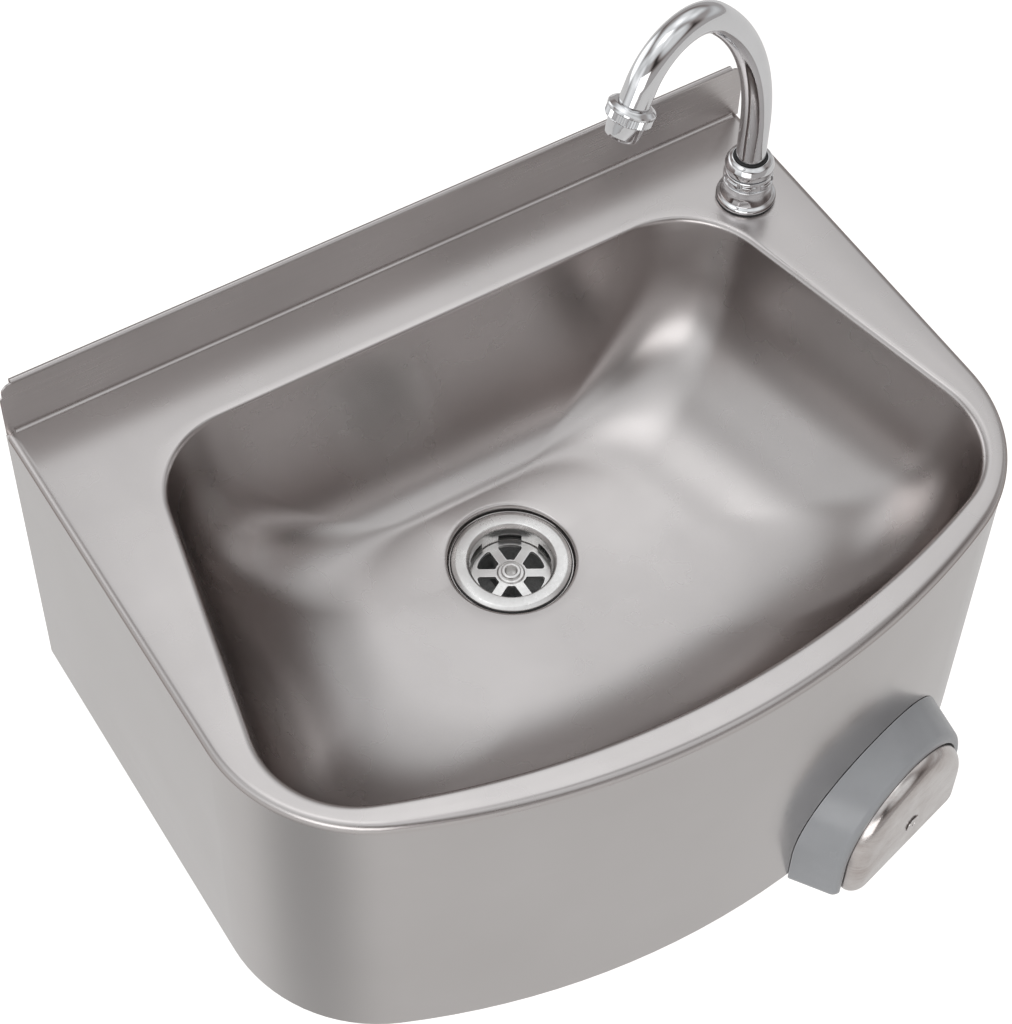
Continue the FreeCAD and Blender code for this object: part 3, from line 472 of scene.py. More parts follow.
def make_bowl_and_deck():
    """One sheet from the deck's edge over the rim, down the bowl and into the waste's seat."""
    edge = deck_outline(EDGE_ROLL)
    profile = bowl_profile()
    rim = bowl_outline(profile[0][0])
    rings = [at_height(blend_outlines(edge, rim, share), DECK_Z) for share in (0.0, 0.5, 0.9)]
    rings += [at_height(bowl_outline(inset), DECK_Z - depth) for inset, depth in profile]
    floor = bowl_outline(profile[-1][0])
    floor_z = DECK_Z - profile[-1][1]
    seat = drain_circle(floor, SEAT_OUTER_R)
    fall = math.tan(math.radians(FLOOR_SLOPE + 1))
    seat_tops = [max(SEAT_TOP_Z, floor_z - fall * math.dist(p, q)) for p, q in zip(floor, seat)]
    for share in shares(8):
        rings.append([(x, y, floor_z + (top - floor_z) * share)
                      for (x, y), top in zip(blend_outlines(floor, seat, share), seat_tops)])
    for r, drop in arc((SEAT_OUTER_R, SEAT_ROUND), SEAT_ROUND, -90, -180, 6)[1:]:
        rings.append([(x, y, top - drop) for (x, y), top in zip(drain_circle(floor, r), seat_tops)])
    for r, z in ((SEAT_R, SEAT_Z + 0.3), (SEAT_R - 0.4, SEAT_Z), (DRAIN_HOLE_R, SEAT_Z)):
        rings.append(at_height(drain_circle(floor, r), z))
    return draw_rings("basin_sheet", rings)


def make_edge_roll():
    """The deck's turned-down edge along both sides and the front."""
    rings = []
    for inset, drop in arc((EDGE_ROLL, EDGE_ROLL), EDGE_ROLL, -90, -180, 6) + [(0.0, EDGE_LIP)]:
        chain = deck_outline(inset)[REAR_RIGHT:REAR_LEFT + 1]
        start = [(chain[0][0], -UPSTAND_DEPTH)]
        end = [(chain[-1][0], -UPSTAND_DEPTH)]
        rings.append(at_height(start + chain + end, DECK_Z - drop))
    return draw_rings("edge_roll", rings, closed=False)


def draw_along(name, profile, half):
    """A solid bar along X from its profile of (y, z) points."""
    return draw_rings(name, [[(x, y, z) for y, z in profile] for x in (-half, 0, half)], caps=True)


def make_upstand():
    """The upstand with its crease below, its closed hem above and a tab at each end."""
    front, inner = -UPSTAND_DEPTH, SHEET - UPSTAND_DEPTH
    foot, crease_z = DECK_Z - SHEET, DECK_Z + UPSTAND_CREASE
    r = UPSTAND_DEPTH / 2
    hem_z = DECK_Z + UPSTAND_HEIGHT - r
    crease = arc((front - UPSTAND_CREASE, crease_z), UPSTAND_CREASE, -90, 0, 6)
    crease += [(inner, crease_z), (inner, foot), (front - UPSTAND_CREASE, foot)]
    wall = [(front, crease_z)] + arc((front + r, hem_z), r, 180, 0, 12)
    wall += [(0.0, foot), (-SHEET, foot), (-SHEET, hem_z), (inner, hem_z), (inner, crease_z)]
    fold = draw_along("crease_fold", crease, HALF_WIDTH - EDGE_ROLL)
    upstand = draw_along("upstand_wall", wall, HALF_WIDTH - HEM_SHORT)
    return join(upstand, fold, make_tab(-1), make_tab(1))


def make_tab(side):
    """The front sheet beside the hem at an upstand end, with its round upper corner and small step."""
    inner, outer = HALF_WIDTH - HEM_SHORT, HALF_WIDTH
    foot, top = DECK_Z - SHEET, DECK_Z + UPSTAND_HEIGHT - TAB_DROP
    step_z = DECK_Z + TAB_STEP_RISE
    outline = [(inner, foot), (outer, foot), (outer, step_z), (outer - TAB_STEP, step_z + TAB_STEP)]
    outline += arc((outer - TAB_STEP - TAB_CORNER, top - TAB_CORNER), TAB_CORNER, 0, 90, 6)
    outline += [(inner, top)]
    rings = [[(side * x, y, z) for x, z in outline] for y in (-UPSTAND_DEPTH, SHEET - UPSTAND_DEPTH)]
    return draw_rings("upstand_tab", rings, caps=True)


def make_basin():
    sheet = join(make_bowl_and_deck(), make_edge_roll())
    merge_doubles(sheet)
    face_outwards(sheet)
    if sheet.data.polygons[0].normal.z < 0:
        edit_all(sheet, bpy.ops.mesh.flip_normals)
    apply_modifier(sheet, "SOLIDIFY", thickness=SHEET * MM, offset=-1.0)
    finish(join(sheet, make_upstand()), "sink", "stainless", "basin", angle=30)


# ---------------------------------------------------------------- waste

def spoke_turns():
    return [FIRST_WINDOW + 2 * math.pi * k / SPOKES for k in range(SPOKES)]


def make_waste_flange():
    """The flange and its cup in one, with six slots low in the cup's wall."""
    top, floor = FLANGE_TOP_Z, GRID_TOP_Z
    cup = turned_ring("waste_cup", DRAIN, rounded([
        (18.0, floor - 2.8, 0), (18.0, floor - 1.8, 0.1), (20.0, floor - 1.8, 0.1), (20.0, floor, 0.3),
        (20.5, top - 2.2, 1.6), (22.0, top - 0.1, 0.8), (27.4, top, 1.4), (29.4, top - 1.0, 0.5),
        (29.4, top - 1.6, 0.1), (22.8, top - 1.6, 0.3), (21.2, floor, 0.5), (21.2, floor - 2.8, 0)]),
        sides=96)
    for turn in spoke_turns():
        cut_away(cup, block_cutter(around(DRAIN, SLOT_R, turn, floor + SLOT_RISE), SLOT_SIZE, turn))
    finish(cup, "sink", "waste_satin", "waste_flange", angle=35, slot="stainless_polished")


def window_outline():
    """One window of the grid between two spokes, its corners rounded."""
    half_turn = math.pi / SPOKES
    wide = half_turn - math.asin(SPOKE_W / 2 / WINDOW_OUTER)
    narrow = half_turn - math.asin(SPOKE_W / 2 / WINDOW_INNER)
    corners = [(WINDOW_INNER, 0.1 * narrow, 0), (WINDOW_INNER, narrow, 1.0), (WINDOW_OUTER, wide, 1.3),
               (WINDOW_OUTER, wide / 2, 0), (WINDOW_OUTER, 0, 0), (WINDOW_OUTER, -wide / 2, 0),
               (WINDOW_OUTER, -wide, 1.3), (WINDOW_INNER, -narrow, 1.0), (WINDOW_INNER, -0.1 * narrow, 0)]
    return rounded([(r * math.cos(turn), r * math.sin(turn), blend) for r, turn, blend in corners])


def make_waste_grid():
    """The strainer: a disc with a raised hub and six windows."""
    top, foot = GRID_TOP_Z, GRID_TOP_Z - GRID_T
    grid = turned_ring("strainer_grid", DRAIN, rounded([
        (3.3, foot, 0), (GRID_R, foot, 0.2), (GRID_R, top, 0.6), (6.9, top, 0.3), (6.2, top + 0.8, 0.3),
        (3.3, top + 0.8, 0)]), sides=96)
    for turn in spoke_turns():
        spots = [(DRAIN[0] + x * math.cos(turn) - y * math.sin(turn),
                  DRAIN[1] + x * math.sin(turn) + y * math.cos(turn)) for x, y in window_outline()]
        cut_away(grid, draw_rings("window", [at_height(spots, z) for z in (top - 4, top + 4)], caps=True))
    bevel_edges(grid, 0.3, 2, 50)
    finish(grid, "sink", "waste_satin", "waste_grid", angle=40, slot="stainless_polished")


def make_waste_screw():
    """The screw in the grid's hub, with a round socket in its head."""
    foot, seat = WASTE_SCREW_FOOT_Z, GRID_TOP_Z + 0.8
    screw = turned("strainer_screw", DRAIN, rounded([
        (1.0, foot, 0), (3.0, foot, 0.4), (3.0, seat, 0), (4.9, seat, 0.1), (4.9, seat + 1.6, 0.7),
        (3.2, seat + 1.6, 0.3), (2.7, seat + 0.9, 0.1), (2.7, seat - 4.0, 0), (1.0, seat - 4.0, 0)]),
        sides=48)
    finish(screw, "sink", "waste_satin", "waste_screw", angle=40, slot="stainless_polished")


# ---------------------------------------------------------------- spout

def spout_heading():
    return Vector((math.cos(SPOUT_TURN), math.sin(SPOUT_TURN), 0))


def spout_course():
    """The direction in which the spout's tip points."""
    return spout_heading() * math.sin(CROOK_END) + Vector((0, 0, math.cos(CROOK_END)))


def spout_tip():
    """The place of the spout's tip, in millimetres."""
    out = (NECK_R * (1 - math.cos(NECK_SWEEP))
           + CROOK_R * (math.cos(NECK_SWEEP) - math.cos(CROOK_END)) + SPOUT_RUN * math.sin(CROOK_END))
    rise = (RISER_TOP + NECK_R * math.sin(NECK_SWEEP)
            + CROOK_R * (math.sin(CROOK_END) - math.sin(NECK_SWEEP)) + SPOUT_RUN * math.cos(CROOK_END))
    return Vector((TAP[0], TAP[1], DECK_Z + rise)) + spout_heading() * out


def make_spout_tube():
    """A round outline extruded up, spun through both bends and extruded to its end."""
    put_down()
    heading = spout_heading()
    axis = Vector((0, 0, 1)).cross(heading)
    bpy.ops.mesh.primitive_circle_add(vertices=56, radius=TUBE_R * MM,
                                      location=(TAP[0] * MM, TAP[1] * MM, (DECK_Z + TUBE_FOOT) * MM))
    tube = bpy.context.object
    tube.name = tube.data.name = "spout_pipe"
    bpy.ops.object.transform_apply(location=True, rotation=True, scale=True)
    bpy.ops.object.mode_set(mode="EDIT")
    bpy.ops.mesh.select_all(action="SELECT")
    bpy.ops.mesh.extrude_region_move(
        TRANSFORM_OT_translate={"value": (0, 0, (RISER_TOP - TUBE_FOOT) * MM)})
    neck_centre = Vector((TAP[0], TAP[1], DECK_Z + RISER_TOP)) + heading * NECK_R
    bpy.ops.mesh.spin(steps=30, angle=-NECK_SWEEP, center=neck_centre * MM, axis=axis)
    inwards = heading * math.cos(NECK_SWEEP) - Vector((0, 0, math.sin(NECK_SWEEP)))
    crook_centre = neck_centre - inwards * NECK_R + inwards * CROOK_R
    bpy.ops.mesh.spin(steps=48, angle=NECK_SWEEP - CROOK_END, center=crook_centre * MM, axis=axis)
    end_run = spout_course() * (SPOUT_RUN - TUBE_END_SHORT) * MM
    bpy.ops.mesh.extrude_region_move(TRANSFORM_OT_translate={"value": end_run})
    bpy.ops.object.mode_set(mode="OBJECT")
    merge_doubles(tube)
    face_outwards(tube)
    apply_modifier(tube, "SOLIDIFY", thickness=(TUBE_R - TUBE_BORE_R) * MM, offset=-1.0)
    finish(tube, "spout", "chrome", "spout_tube", angle=40)


def make_spout_base():
    """The waisted foot on the deck, and the shank that goes down through it."""
    z = DECK_Z
    foot = turned("spout_foot", TAP, rounded([
        (9.0, z + 0.6, 0), (14.1, z + 0.6, 0.3), (14.75, z + 1.9, 1.0), (14.1, z + 3.4, 0.9),
        (12.7, z + 4.1, 0.8), (11.5, z + 8.2, 7.0), (12.2, z + 13.3, 0.6), (10.4, z + 13.8, 0.1),
        (10.4, z + 22.0, 0.2), (9.4, z + 22.0, 0)]), sides=96)
    shank = turned("spout_shank", TAP, rounded([
        (5.0, z + 0.5, 0), (10.3, z + 0.5, 0.2), (10.3, z - 40.0, 0.2), (8.33, z - 40.1, 0.1),
        (8.33, z - 49.0, 0.6), (5.0, z - 49.0, 0)]))
    finish(join(foot, shank), "sink", "chrome", "spout_base", angle=50)


def make_lock_ring():
    """The ring above the foot, with notches around its band."""
    z = DECK_Z
    band = turned_ring("lock_ring_band", TAP, rounded([
        (10.45, z + 14.0, 0), (11.6, z + 14.0, 0.4), (12.15, z + 14.9, 0.5), (12.15, z + 16.9, 0.6),
        (11.3, z + 17.7, 0.6), (11.6, z + 18.6, 0.4), (11.3, z + 19.2, 0.3), (10.45, z + 19.2, 0)]),
        sides=96)
    for k in range(LOCK_NOTCHES):
        turn = SPOUT_TURN + math.radians(20 + 360 * k / LOCK_NOTCHES)
        cut_away(band, block_cutter(around(TAP, NOTCH_R, turn, z + NOTCH_RISE), NOTCH_SIZE, turn))
    finish(band, "sink", "chrome", "lock_ring", angle=40)


def make_cap_nut():
    z = DECK_Z
    dome = turned_ring("cap_dome", TAP, rounded([
        (10.45, z + 19.6, 0), (10.9, z + 19.6, 0.2), (11.8, z + 20.8, 0.9), (12.0, z + 23.6, 2.6),
        (10.6, z + 26.6, 2.2), (8.9, z + 27.5, 0.9), (8.5, z + 28.0, 0.3), (8.2, z + 27.2, 0.2),
        (8.2, z + 26.2, 0.1), (7.3, z + 26.2, 0.1), (7.3, z + 22.0, 0.1), (10.45, z + 22.0, 0)]), sides=96)
    finish(dome, "sink", "chrome", "cap_nut", angle=50)


def upright_to_tip():
    """Matrix that takes a piece built upright on the tip at the origin to the spout's end."""
    turn = (-spout_course()).to_track_quat("Z", "Y").to_matrix().to_4x4()
    return Matrix.Translation(spout_tip() * MM) @ turn


def make_aerator_collar():
    """The knurled collar, from stations of (radius, height, 1 where the knurl is cut)."""
    stations = [(7.3, 8.7, 0), (10.4, 8.7, 0), (10.9, 9.1, 0), (11.0, 9.4, 1), (11.0, 12.9, 1),
                (11.0, 13.2, 0), (11.25, 13.4, 0), (11.25, 14.2, 0), (10.9, 14.8, 0), (10.1, 15.3, 0),
                (9.2, 16.0, 0), (8.6, 16.2, 0), (7.3, 16.2, 0)]
    rings = []
    for r, z, knurled in stations:
        reaches = [r, r - KNURL_DEPTH * knurled] * KNURLS
        rings.append([around((0, 0), reach, math.pi * k / KNURLS, z) for k, reach in enumerate(reaches)])
    collar = draw_rings("aerator_knurl", rings)
    close_ring(collar)
    move_to(collar, upright_to_tip())
    finish(collar, "spout", "chrome", "aerator_collar", angle=25)


def make_aerator_body():
    """The cup below the collar, with a flat on two sides."""
    cup = turned_ring("aerator_cup", (0, 0), rounded([
        (6.4, 3.0, 0), (6.4, 0.0, 0.2), (7.5, 0.0, 0.4), (7.9, 1.5, 0.5), (8.8, 8.6, 0.1), (7.3, 8.6, 0.1),
        (7.3, 10.5, 0)]))
    for side in (-1, 1):
        cut_away(cup, block_cutter((0, side * 12.9, 3.0), (30, 10, 9.6)))
    move_to(cup, upright_to_tip())
    finish(cup, "spout", "chrome", "aerator_body", angle=35)


# ---------------------------------------------------------------- knee unit

def knee_matrix():
    """Takes a piece built with X along the skirt, Y up and Z out of it to the knee unit's place."""
    along = Vector((math.cos(KNEE_TURN), math.sin(KNEE_TURN), 0))
    out = Vector((math.sin(KNEE_TURN), -math.cos(KNEE_TURN), 0))
    place = Vector((SKIRT_R * out.x, FRONT_CENTRE_Y + SKIRT_R * out.y, KNEE_Z))
    turn = Matrix((along, Vector((0, 0, 1)), out)).transposed().to_4x4()
    return Matrix.Translation(place * MM) @ turn


def skirt_face(across):
    """How far the curved skirt lies behind the knee unit's plane, this far to the side."""
    return math.sqrt(SKIRT_R ** 2 - across ** 2) - SKIRT_R


def make_knee_housing():
    """The grey arch around the plate: a tapered block, hollowed by an opening that runs out below."""
    taper = (HOUSING_BACK_R - HOUSING_FRONT_R) / HOUSING_FRONT
    back = arch_outline(HOUSING_BACK_R, HOUSING_BELOW, HOUSING_CORNER)
    rings = [[(x, y, skirt_face(x) + HOUSING_GAP) for x, y in back]]
    for inset, z in arc((HOUSING_EDGE, HOUSING_FRONT - HOUSING_EDGE), HOUSING_EDGE, 180, 90, 8):
        r = HOUSING_BACK_R - taper * z - inset
        rings.append(at_height(arch_outline(r, HOUSING_BELOW - inset, HOUSING_CORNER - inset), z))
    block = draw_rings("housing_arch", rings, caps=True)
    opening = arch_outline(OPENING_R, 2 * HOUSING_BELOW, HOUSING_CORNER)
    ends = [at_height(opening, z) for z in (CAVITY_BACK, 2 * HOUSING_FRONT)]
    cut_away(block, draw_rings("housing_opening", ends, caps=True))
    neck = [(NECK_HOLE_R, -HOUSING_FRONT), (NECK_HOLE_R, HOUSING_FRONT)]
    cut_away(block, turned("neck_hole", (0, 0), neck))
    bevel_edges(block, 0.9, 3, 40)
    move_to(block, knee_matrix())
    finish(block, "sink", "housing_grey", "knee_housing", angle=40)


def plate_shell():
    """The plate's outside: straight edge, round shoulder, crowned face and the sunk screw's mouth."""
    side = arch_outline(PLATE_R, PLATE_BELOW, PLATE_CORNER)
    rings = [at_height(side, z) for z in (PLATE_BACK, PLATE_FACE - PLATE_EDGE)]
    shoulder = (PLATE_EDGE, PLATE_FACE - PLATE_CROWN - PLATE_EDGE)
    for inset, z in arc(shoulder, PLATE_EDGE, 180, 92, 10)[1:]:
        outline = arch_outline(PLATE_R - inset, PLATE_BELOW - inset, max(PLATE_CORNER - 0.75 * inset, 1.2))
        rings.append(at_height(outline, z + PLATE_CROWN * (inset / PLATE_EDGE) ** 2))
    face = arch_outline(PLATE_R - PLATE_EDGE, PLATE_BELOW - PLATE_EDGE, 2.6)
    mouth = []
    for x, y in face:
        away = Vector((x, y)).normalized()
        mouth.append((away.x * SCREW_MOUTH_R, away.y * SCREW_MOUTH_R))
    for share in shares(6):
        rings.append(at_height(blend_outlines(face, mouth, share), PLATE_FACE - 0.04 * (1 - share)))
    for r, drop in ((4.9, 0.1), (4.7, 0.6), (4.65, 3.2)):
        part = r / SCREW_MOUTH_R
        rings.append([(x * part, y * part, PLATE_FACE - drop) for x, y in mouth])
    return draw_rings("push_plate", rings, caps=True)


def make_knee_plate():
    """The plate's shell, hollowed from behind, with a boss for its screw."""
    plate = plate_shell()
    room = [(1.5, PLATE_BACK - 1.0), (1.5, PLATE_FACE - PLATE_EDGE), (2.1, 21.5), (3.8, 23.5), (6.4, 24.6)]
    rings = []
    for inset, z in room:
        outline = arch_outline(PLATE_R - inset, PLATE_BELOW - inset, max(PLATE_CORNER - inset, 1.0))
        rings.append(at_height(outline, z))
    cut_away(plate, draw_rings("plate_room", rings, caps=True))
    boss = rounded([(2.2, 19.0, 0), (8.0, 19.0, 0.3), (8.0, 25.0, 0), (2.2, 25.0, 0)])
    join(plate, turned_ring("plate_boss", (0, 0), boss, sides=48))
    move_to(plate, knee_matrix())
    finish(plate, "knee_plate", "stainless_polished", "knee_plate", angle=40)


def make_plate_screw():
    """The screw sunk in the plate's face, with its small socket."""
    screw = turned("sunk_screw", (0, 0), rounded([
        (0.8, 8.5, 0), (2.0, 8.5, 0.3), (2.0, 23.6, 0), (3.7, 24.8, 0.2), (3.7, 26.7, 0.1),
        (4.3, 26.8, 0.1), (4.2, 27.2, 0.2), (1.5, 27.35, 0.1), (1.3, 26.9, 0), (1.3, 25.6, 0),
        (0.8, 25.6, 0)]), sides=48)
    move_to(screw, knee_matrix())
    finish(screw, "knee_plate", "stainless_polished", "plate_screw", angle=40)


# ---------------------------------------------------------------- nodes of materials and world

def plug(tree, value, socket):
    """Links a socket to another node's output, or sets it to a constant."""
    if isinstance(value, bpy.types.NodeSocket):
        tree.links.new(value, socket)
    else:
        socket.default_value = value


def maths(tree, operation, *values):
    node = tree.nodes.new("ShaderNodeMath")
    node.operation = operation
    for value, socket in zip(values, node.inputs):
        plug(tree, value, socket)
    return node.outputs[0]


def vector_maths(tree, operation, first, second):
    """One number from two vectors, such as their distance or dot product."""
    node = tree.nodes.new("ShaderNodeVectorMath")
    node.operation = operation
    plug(tree, first, node.inputs[0])
    plug(tree, second, node.inputs[1])
    return node.outputs["Value"]


def ramp(tree, value, low, high, start, end, easing="LINEAR"):
    """Maps a value from start to end onto low to high."""
    node = tree.nodes.new("ShaderNodeMapRange")
    node.interpolation_type = easing
    node.inputs["From Min"].default_value = start
    node.inputs["From Max"].default_value = end
    node.inputs["To Min"].default_value = low
    node.inputs["To Max"].default_value = high
    tree.links.new(value, node.inputs["Value"])
    return node.outputs[0]


def mix(tree, kind, factor, a, b):
    """Blends two numbers (FLOAT) or two colours (RGBA)."""
    node = tree.nodes.new("ShaderNodeMix")
    node.data_type = kind
    plug(tree, factor, node.inputs["Factor"])
    plug(tree, a, node.inputs["A"])
    plug(tree, b, node.inputs["B"])
    return node.outputs["Result"]


# ---------------------------------------------------------------- camera, floor and light (metres)

# The camera's place, axes and focal length were solved from points of the sink in the photograph.
CAMERA_PLACE = (-0.413614, -0.742121, 1.042238)
CAMERA_RIGHT = (0.85151, -0.52393, 0.02069)
CAMERA_UP = (0.41162, 0.69238, 0.59260)
CAMERA_AHEAD = (0.32480, 0.49609, -0.80523)
FOCAL_LENGTH_PIXELS = 2668.288
PHOTO_LONG_SIDE_PIXELS = 1024.0
SENSOR = 36.0

FLOOR_Z = -0.80
FLOOR_SIZE = 14.0
FLOOR_SEEN = 0.75
FLOOR_MIRRORED = 0.27
FLOOR_SHADE_SPOT = (-0.70, -0.38, FLOOR_Z)
FLOOR_SHADE_REACH = 0.55

ROOM_GLOW = 0.035
BAND_GLOW = 0.36
BAND_TOP, BAND_END = 0.12, 0.48
GLOW_EDGE, GLOW_CORE = 0.83, 0.994
# Each glow is the direction it comes from and its strength. They were solved by a helper script from
# the brightness of the steel in the photograph, and then changed and added to by hand.
GLOWS = (
    ((0.37, 0.00, 0.93), 0.32),  # overhead, to the right
    ((-0.08, 0.37, 0.93), 0.50),  # overhead, to the rear
    ((-0.34, 0.16, 0.93), 0.22),  # overhead, to the left and rear
    ((-0.34, -0.16, 0.93), 0.72),  # overhead, to the left and front
    ((0.54, 0.39, 0.74), 0.52),  # high, right and rear
    ((0.21, 0.64, 0.74), 0.32),  # high, rear
    ((-0.54, 0.39, 0.74), 0.22),  # high, left and rear
    ((0.21, -0.64, 0.74), 0.72),  # high, front
    ((0.88, 0.00, 0.47), 0.30),  # right
    ((-0.50, 0.86, 0.14), 1.25),  # low, left and rear
    ((-0.80, -0.45, 0.40), 0.40),  # left and front
    ((-0.92, 0.10, 0.36), 0.62),  # left
)


def add_camera():
    data = bpy.data.cameras.new("photo_camera")
    data.sensor_width = SENSOR
    data.lens = FOCAL_LENGTH_PIXELS * SENSOR / PHOTO_LONG_SIDE_PIXELS
    data.clip_start = 0.01
    data.clip_end = 20.0
    camera = bpy.data.objects.new("photo_camera", data)
    bpy.context.scene.collection.objects.link(camera)
    turn = Matrix((CAMERA_RIGHT, CAMERA_UP, -Vector(CAMERA_AHEAD))).transposed().to_4x4()
    camera.matrix_world = Matrix.Translation(CAMERA_PLACE) @ turn
    bpy.context.scene.camera = camera


def add_panel(name, place, target, size, power):
    """A soft rectangular light at a place, turned to a target."""
    data = bpy.data.lights.new(name, "AREA")
    data.shape = "RECTANGLE"
    data.size, data.size_y = size
    data.energy = power
    lamp = bpy.data.objects.new(name, data)
    bpy.context.scene.collection.objects.link(lamp)
    lamp.location = place
    lamp.rotation_euler = (Vector(target) - Vector(place)).to_track_quat("-Z", "Y").to_euler()


def add_floor():
    """A pale floor. It glows for the camera, and less in reflections, where it darkens about one spot."""
    put_down()
    bpy.ops.mesh.primitive_plane_add(size=FLOOR_SIZE, location=(0.0, 0.0, FLOOR_Z))
    floor = bpy.context.object
    floor.name = "studio_floor"
    bpy.ops.object.transform_apply(location=True, rotation=True, scale=True)
    material = bpy.data.materials.new("floor_white")
    material.use_nodes = True
    tree = material.node_tree
    tree.nodes.clear()
    path = tree.nodes.new("ShaderNodeLightPath").outputs
    where = tree.nodes.new("ShaderNodeTexCoord").outputs["Object"]
    away = vector_maths(tree, "DISTANCE", where, FLOOR_SHADE_SPOT)
    patch = ramp(tree, away, 0.0, 1.0, 0.0, FLOOR_SHADE_REACH, "SMOOTHERSTEP")
    seen = maths(tree, "MULTIPLY", path["Is Camera Ray"], FLOOR_SEEN)
    shaded = maths(tree, "MULTIPLY", path["Is Glossy Ray"], patch)
    mirrored = maths(tree, "MULTIPLY_ADD", shaded, FLOOR_MIRRORED, seen)
    diffuse = tree.nodes.new("ShaderNodeBsdfDiffuse")
    diffuse.inputs["Color"].default_value = (0.55, 0.545, 0.54, 1)
    glow = tree.nodes.new("ShaderNodeEmission")
    glow.inputs["Color"].default_value = (1, 0.985, 0.97, 1)
    through = maths(tree, "MULTIPLY_ADD", path["Is Transmission Ray"], FLOOR_MIRRORED, mirrored)
    plug(tree, through, glow.inputs["Strength"])
    both = tree.nodes.new("ShaderNodeAddShader")
    plug(tree, diffuse.outputs[0], both.inputs[0])
    plug(tree, glow.outputs[0], both.inputs[1])
    plug(tree, both.outputs[0], tree.nodes.new("ShaderNodeOutputMaterial").inputs["Surface"])
    floor.data.materials.append(material)


def set_world():
    """A dim warm room with a pale band low all round and soft glows, where the sheet mirrors them."""
    world = bpy.data.worlds.new("studio_world")
    bpy.context.scene.world = world
    world.use_nodes = True
    tree = world.node_tree
    where = tree.nodes.new("ShaderNodeTexCoord").outputs["Generated"]
    split = tree.nodes.new("ShaderNodeSeparateXYZ")
    plug(tree, where, split.inputs[0])
    total = ramp(tree, split.outputs["Z"], BAND_GLOW, 0.0, BAND_TOP, BAND_END, "SMOOTHERSTEP")
    for aim, strength in GLOWS:
        facing = vector_maths(tree, "DOT_PRODUCT", where, Vector(aim).normalized())
        glow = ramp(tree, facing, 0.0, strength, GLOW_EDGE, GLOW_CORE, "SMOOTHERSTEP")
        total = maths(tree, "ADD", total, glow)
    path = tree.nodes.new("ShaderNodeLightPath").outputs
    back = tree.nodes["Background"].inputs
    strength = mix(tree, "FLOAT", path["Is Camera Ray"], maths(tree, "ADD", total, ROOM_GLOW), 1.0)
    plug(tree, strength, back["Strength"])
    paleness = ramp(tree, total, 0.0, 1.0, 0.0, 0.6, "SMOOTHERSTEP")
    plug(tree, mix(tree, "RGBA", paleness, (1.10, 0.96, 0.92, 1), (0.985, 1.0, 1.01, 1)), back["Color"])


def add_lights():
    add_panel("top_panel", (-0.3, 0.2, 2.40), (0.0, -0.15, 0.0), (0.9, 0.9), 1.2)
    add_panel("front_panel", (-2.0, -2.05, 0.75), (0.0, -0.1, 0.0), (2.2, 1.3), 14)


# ---------------------------------------------------------------- materials

class Finish:
    """A node material under construction, on the Object coordinates of its piece."""

    def __init__(self, name, colour, metallic, roughness):
        self.material = bpy.data.materials.new(name)
        self.material.use_nodes = True
        self.tree = self.material.node_tree
        self.shader = self.tree.nodes["Principled BSDF"]
        self.where = self.tree.nodes.new("ShaderNodeTexCoord").outputs["Object"]
        self.shader.inputs["Base Color"].default_value = (*colour, 1)
        self.shader.inputs["Metallic"].default_value = metallic
        self.shader.inputs["Roughness"].default_value = roughness
        self.colour = colour
        self.height = None

    def noise(self, scale, stretch=(1, 1, 1), detail=3.0, rough=0.5):
        """Noise of this many grains per metre, stretched along the axes."""
        mapping = self.tree.nodes.new("ShaderNodeMapping")
        mapping.inputs["Scale"].default_value = stretch
        self.tree.links.new(self.where, mapping.inputs["Vector"])
        noise = self.tree.nodes.new("ShaderNodeTexNoise")
        noise.inputs["Scale"].default_value = scale
        noise.inputs["Detail"].default_value = detail
        noise.inputs["Roughness"].default_value = rough
        self.tree.links.new(mapping.outputs["Vector"], noise.inputs["Vector"])
        return noise.outputs["Fac"]

    def on_upstand(self):
        """One on the upstand, nothing on the deck and in the bowl."""
        split = self.tree.nodes.new("ShaderNodeSeparateXYZ")
        self.tree.links.new(self.where, split.inputs[0])
        return self.span(split.outputs["Z"], 0.0, 1.0, (DECK_Z + 1) * MM, (DECK_Z + 3) * MM)

    def maths(self, operation, first, second):
        return maths(self.tree, operation, first, second)

    def span(self, value, low, high, start=0.3, end=0.7):
        """Maps a value, as a rule a noise's middle range, onto low to high."""
        return ramp(self.tree, value, low, high, start, end)

    def tint(self, value, other, amount):
        """Blends the colour towards another, at most by this amount, where a noise is high."""
        base = self.shader.inputs["Base Color"]
        before = base.links[0].from_socket if base.is_linked else (*self.colour, 1)
        blend = mix(self.tree, "RGBA", self.span(value, 0.0, amount), before, (*other, 1))
        self.tree.links.new(blend, base)

    def roughen(self, value):
        self.tree.links.new(value, self.shader.inputs["Roughness"])

    def bump(self, value, distance, strength=1.0):
        """Adds relief on top of what is there already."""
        node = self.tree.nodes.new("ShaderNodeBump")
        node.inputs["Distance"].default_value = distance
        node.inputs["Strength"].default_value = strength
        self.tree.links.new(value, node.inputs["Height"])
        if self.height:
            self.tree.links.new(self.height, node.inputs["Normal"])
        self.height = node.outputs["Normal"]
        self.tree.links.new(self.height, self.shader.inputs["Normal"])

    def wear_edges(self, amount, lighter):
        """Lightens worn edges, found where a bevelled normal leaves the true one."""
        bevel = self.tree.nodes.new("ShaderNodeBevel")
        bevel.samples = 4
        bevel.inputs["Radius"].default_value = 1.2 * MM
        true_normal = self.tree.nodes.new("ShaderNodeNewGeometry").outputs["Normal"]
        alike = vector_maths(self.tree, "DOT_PRODUCT", bevel.outputs["Normal"], true_normal)
        worn = self.maths("MULTIPLY", self.maths("SUBTRACT", 1.0, alike), amount)
        self.tint(self.maths("ADD", worn, 0.3), lighter, 1.0)


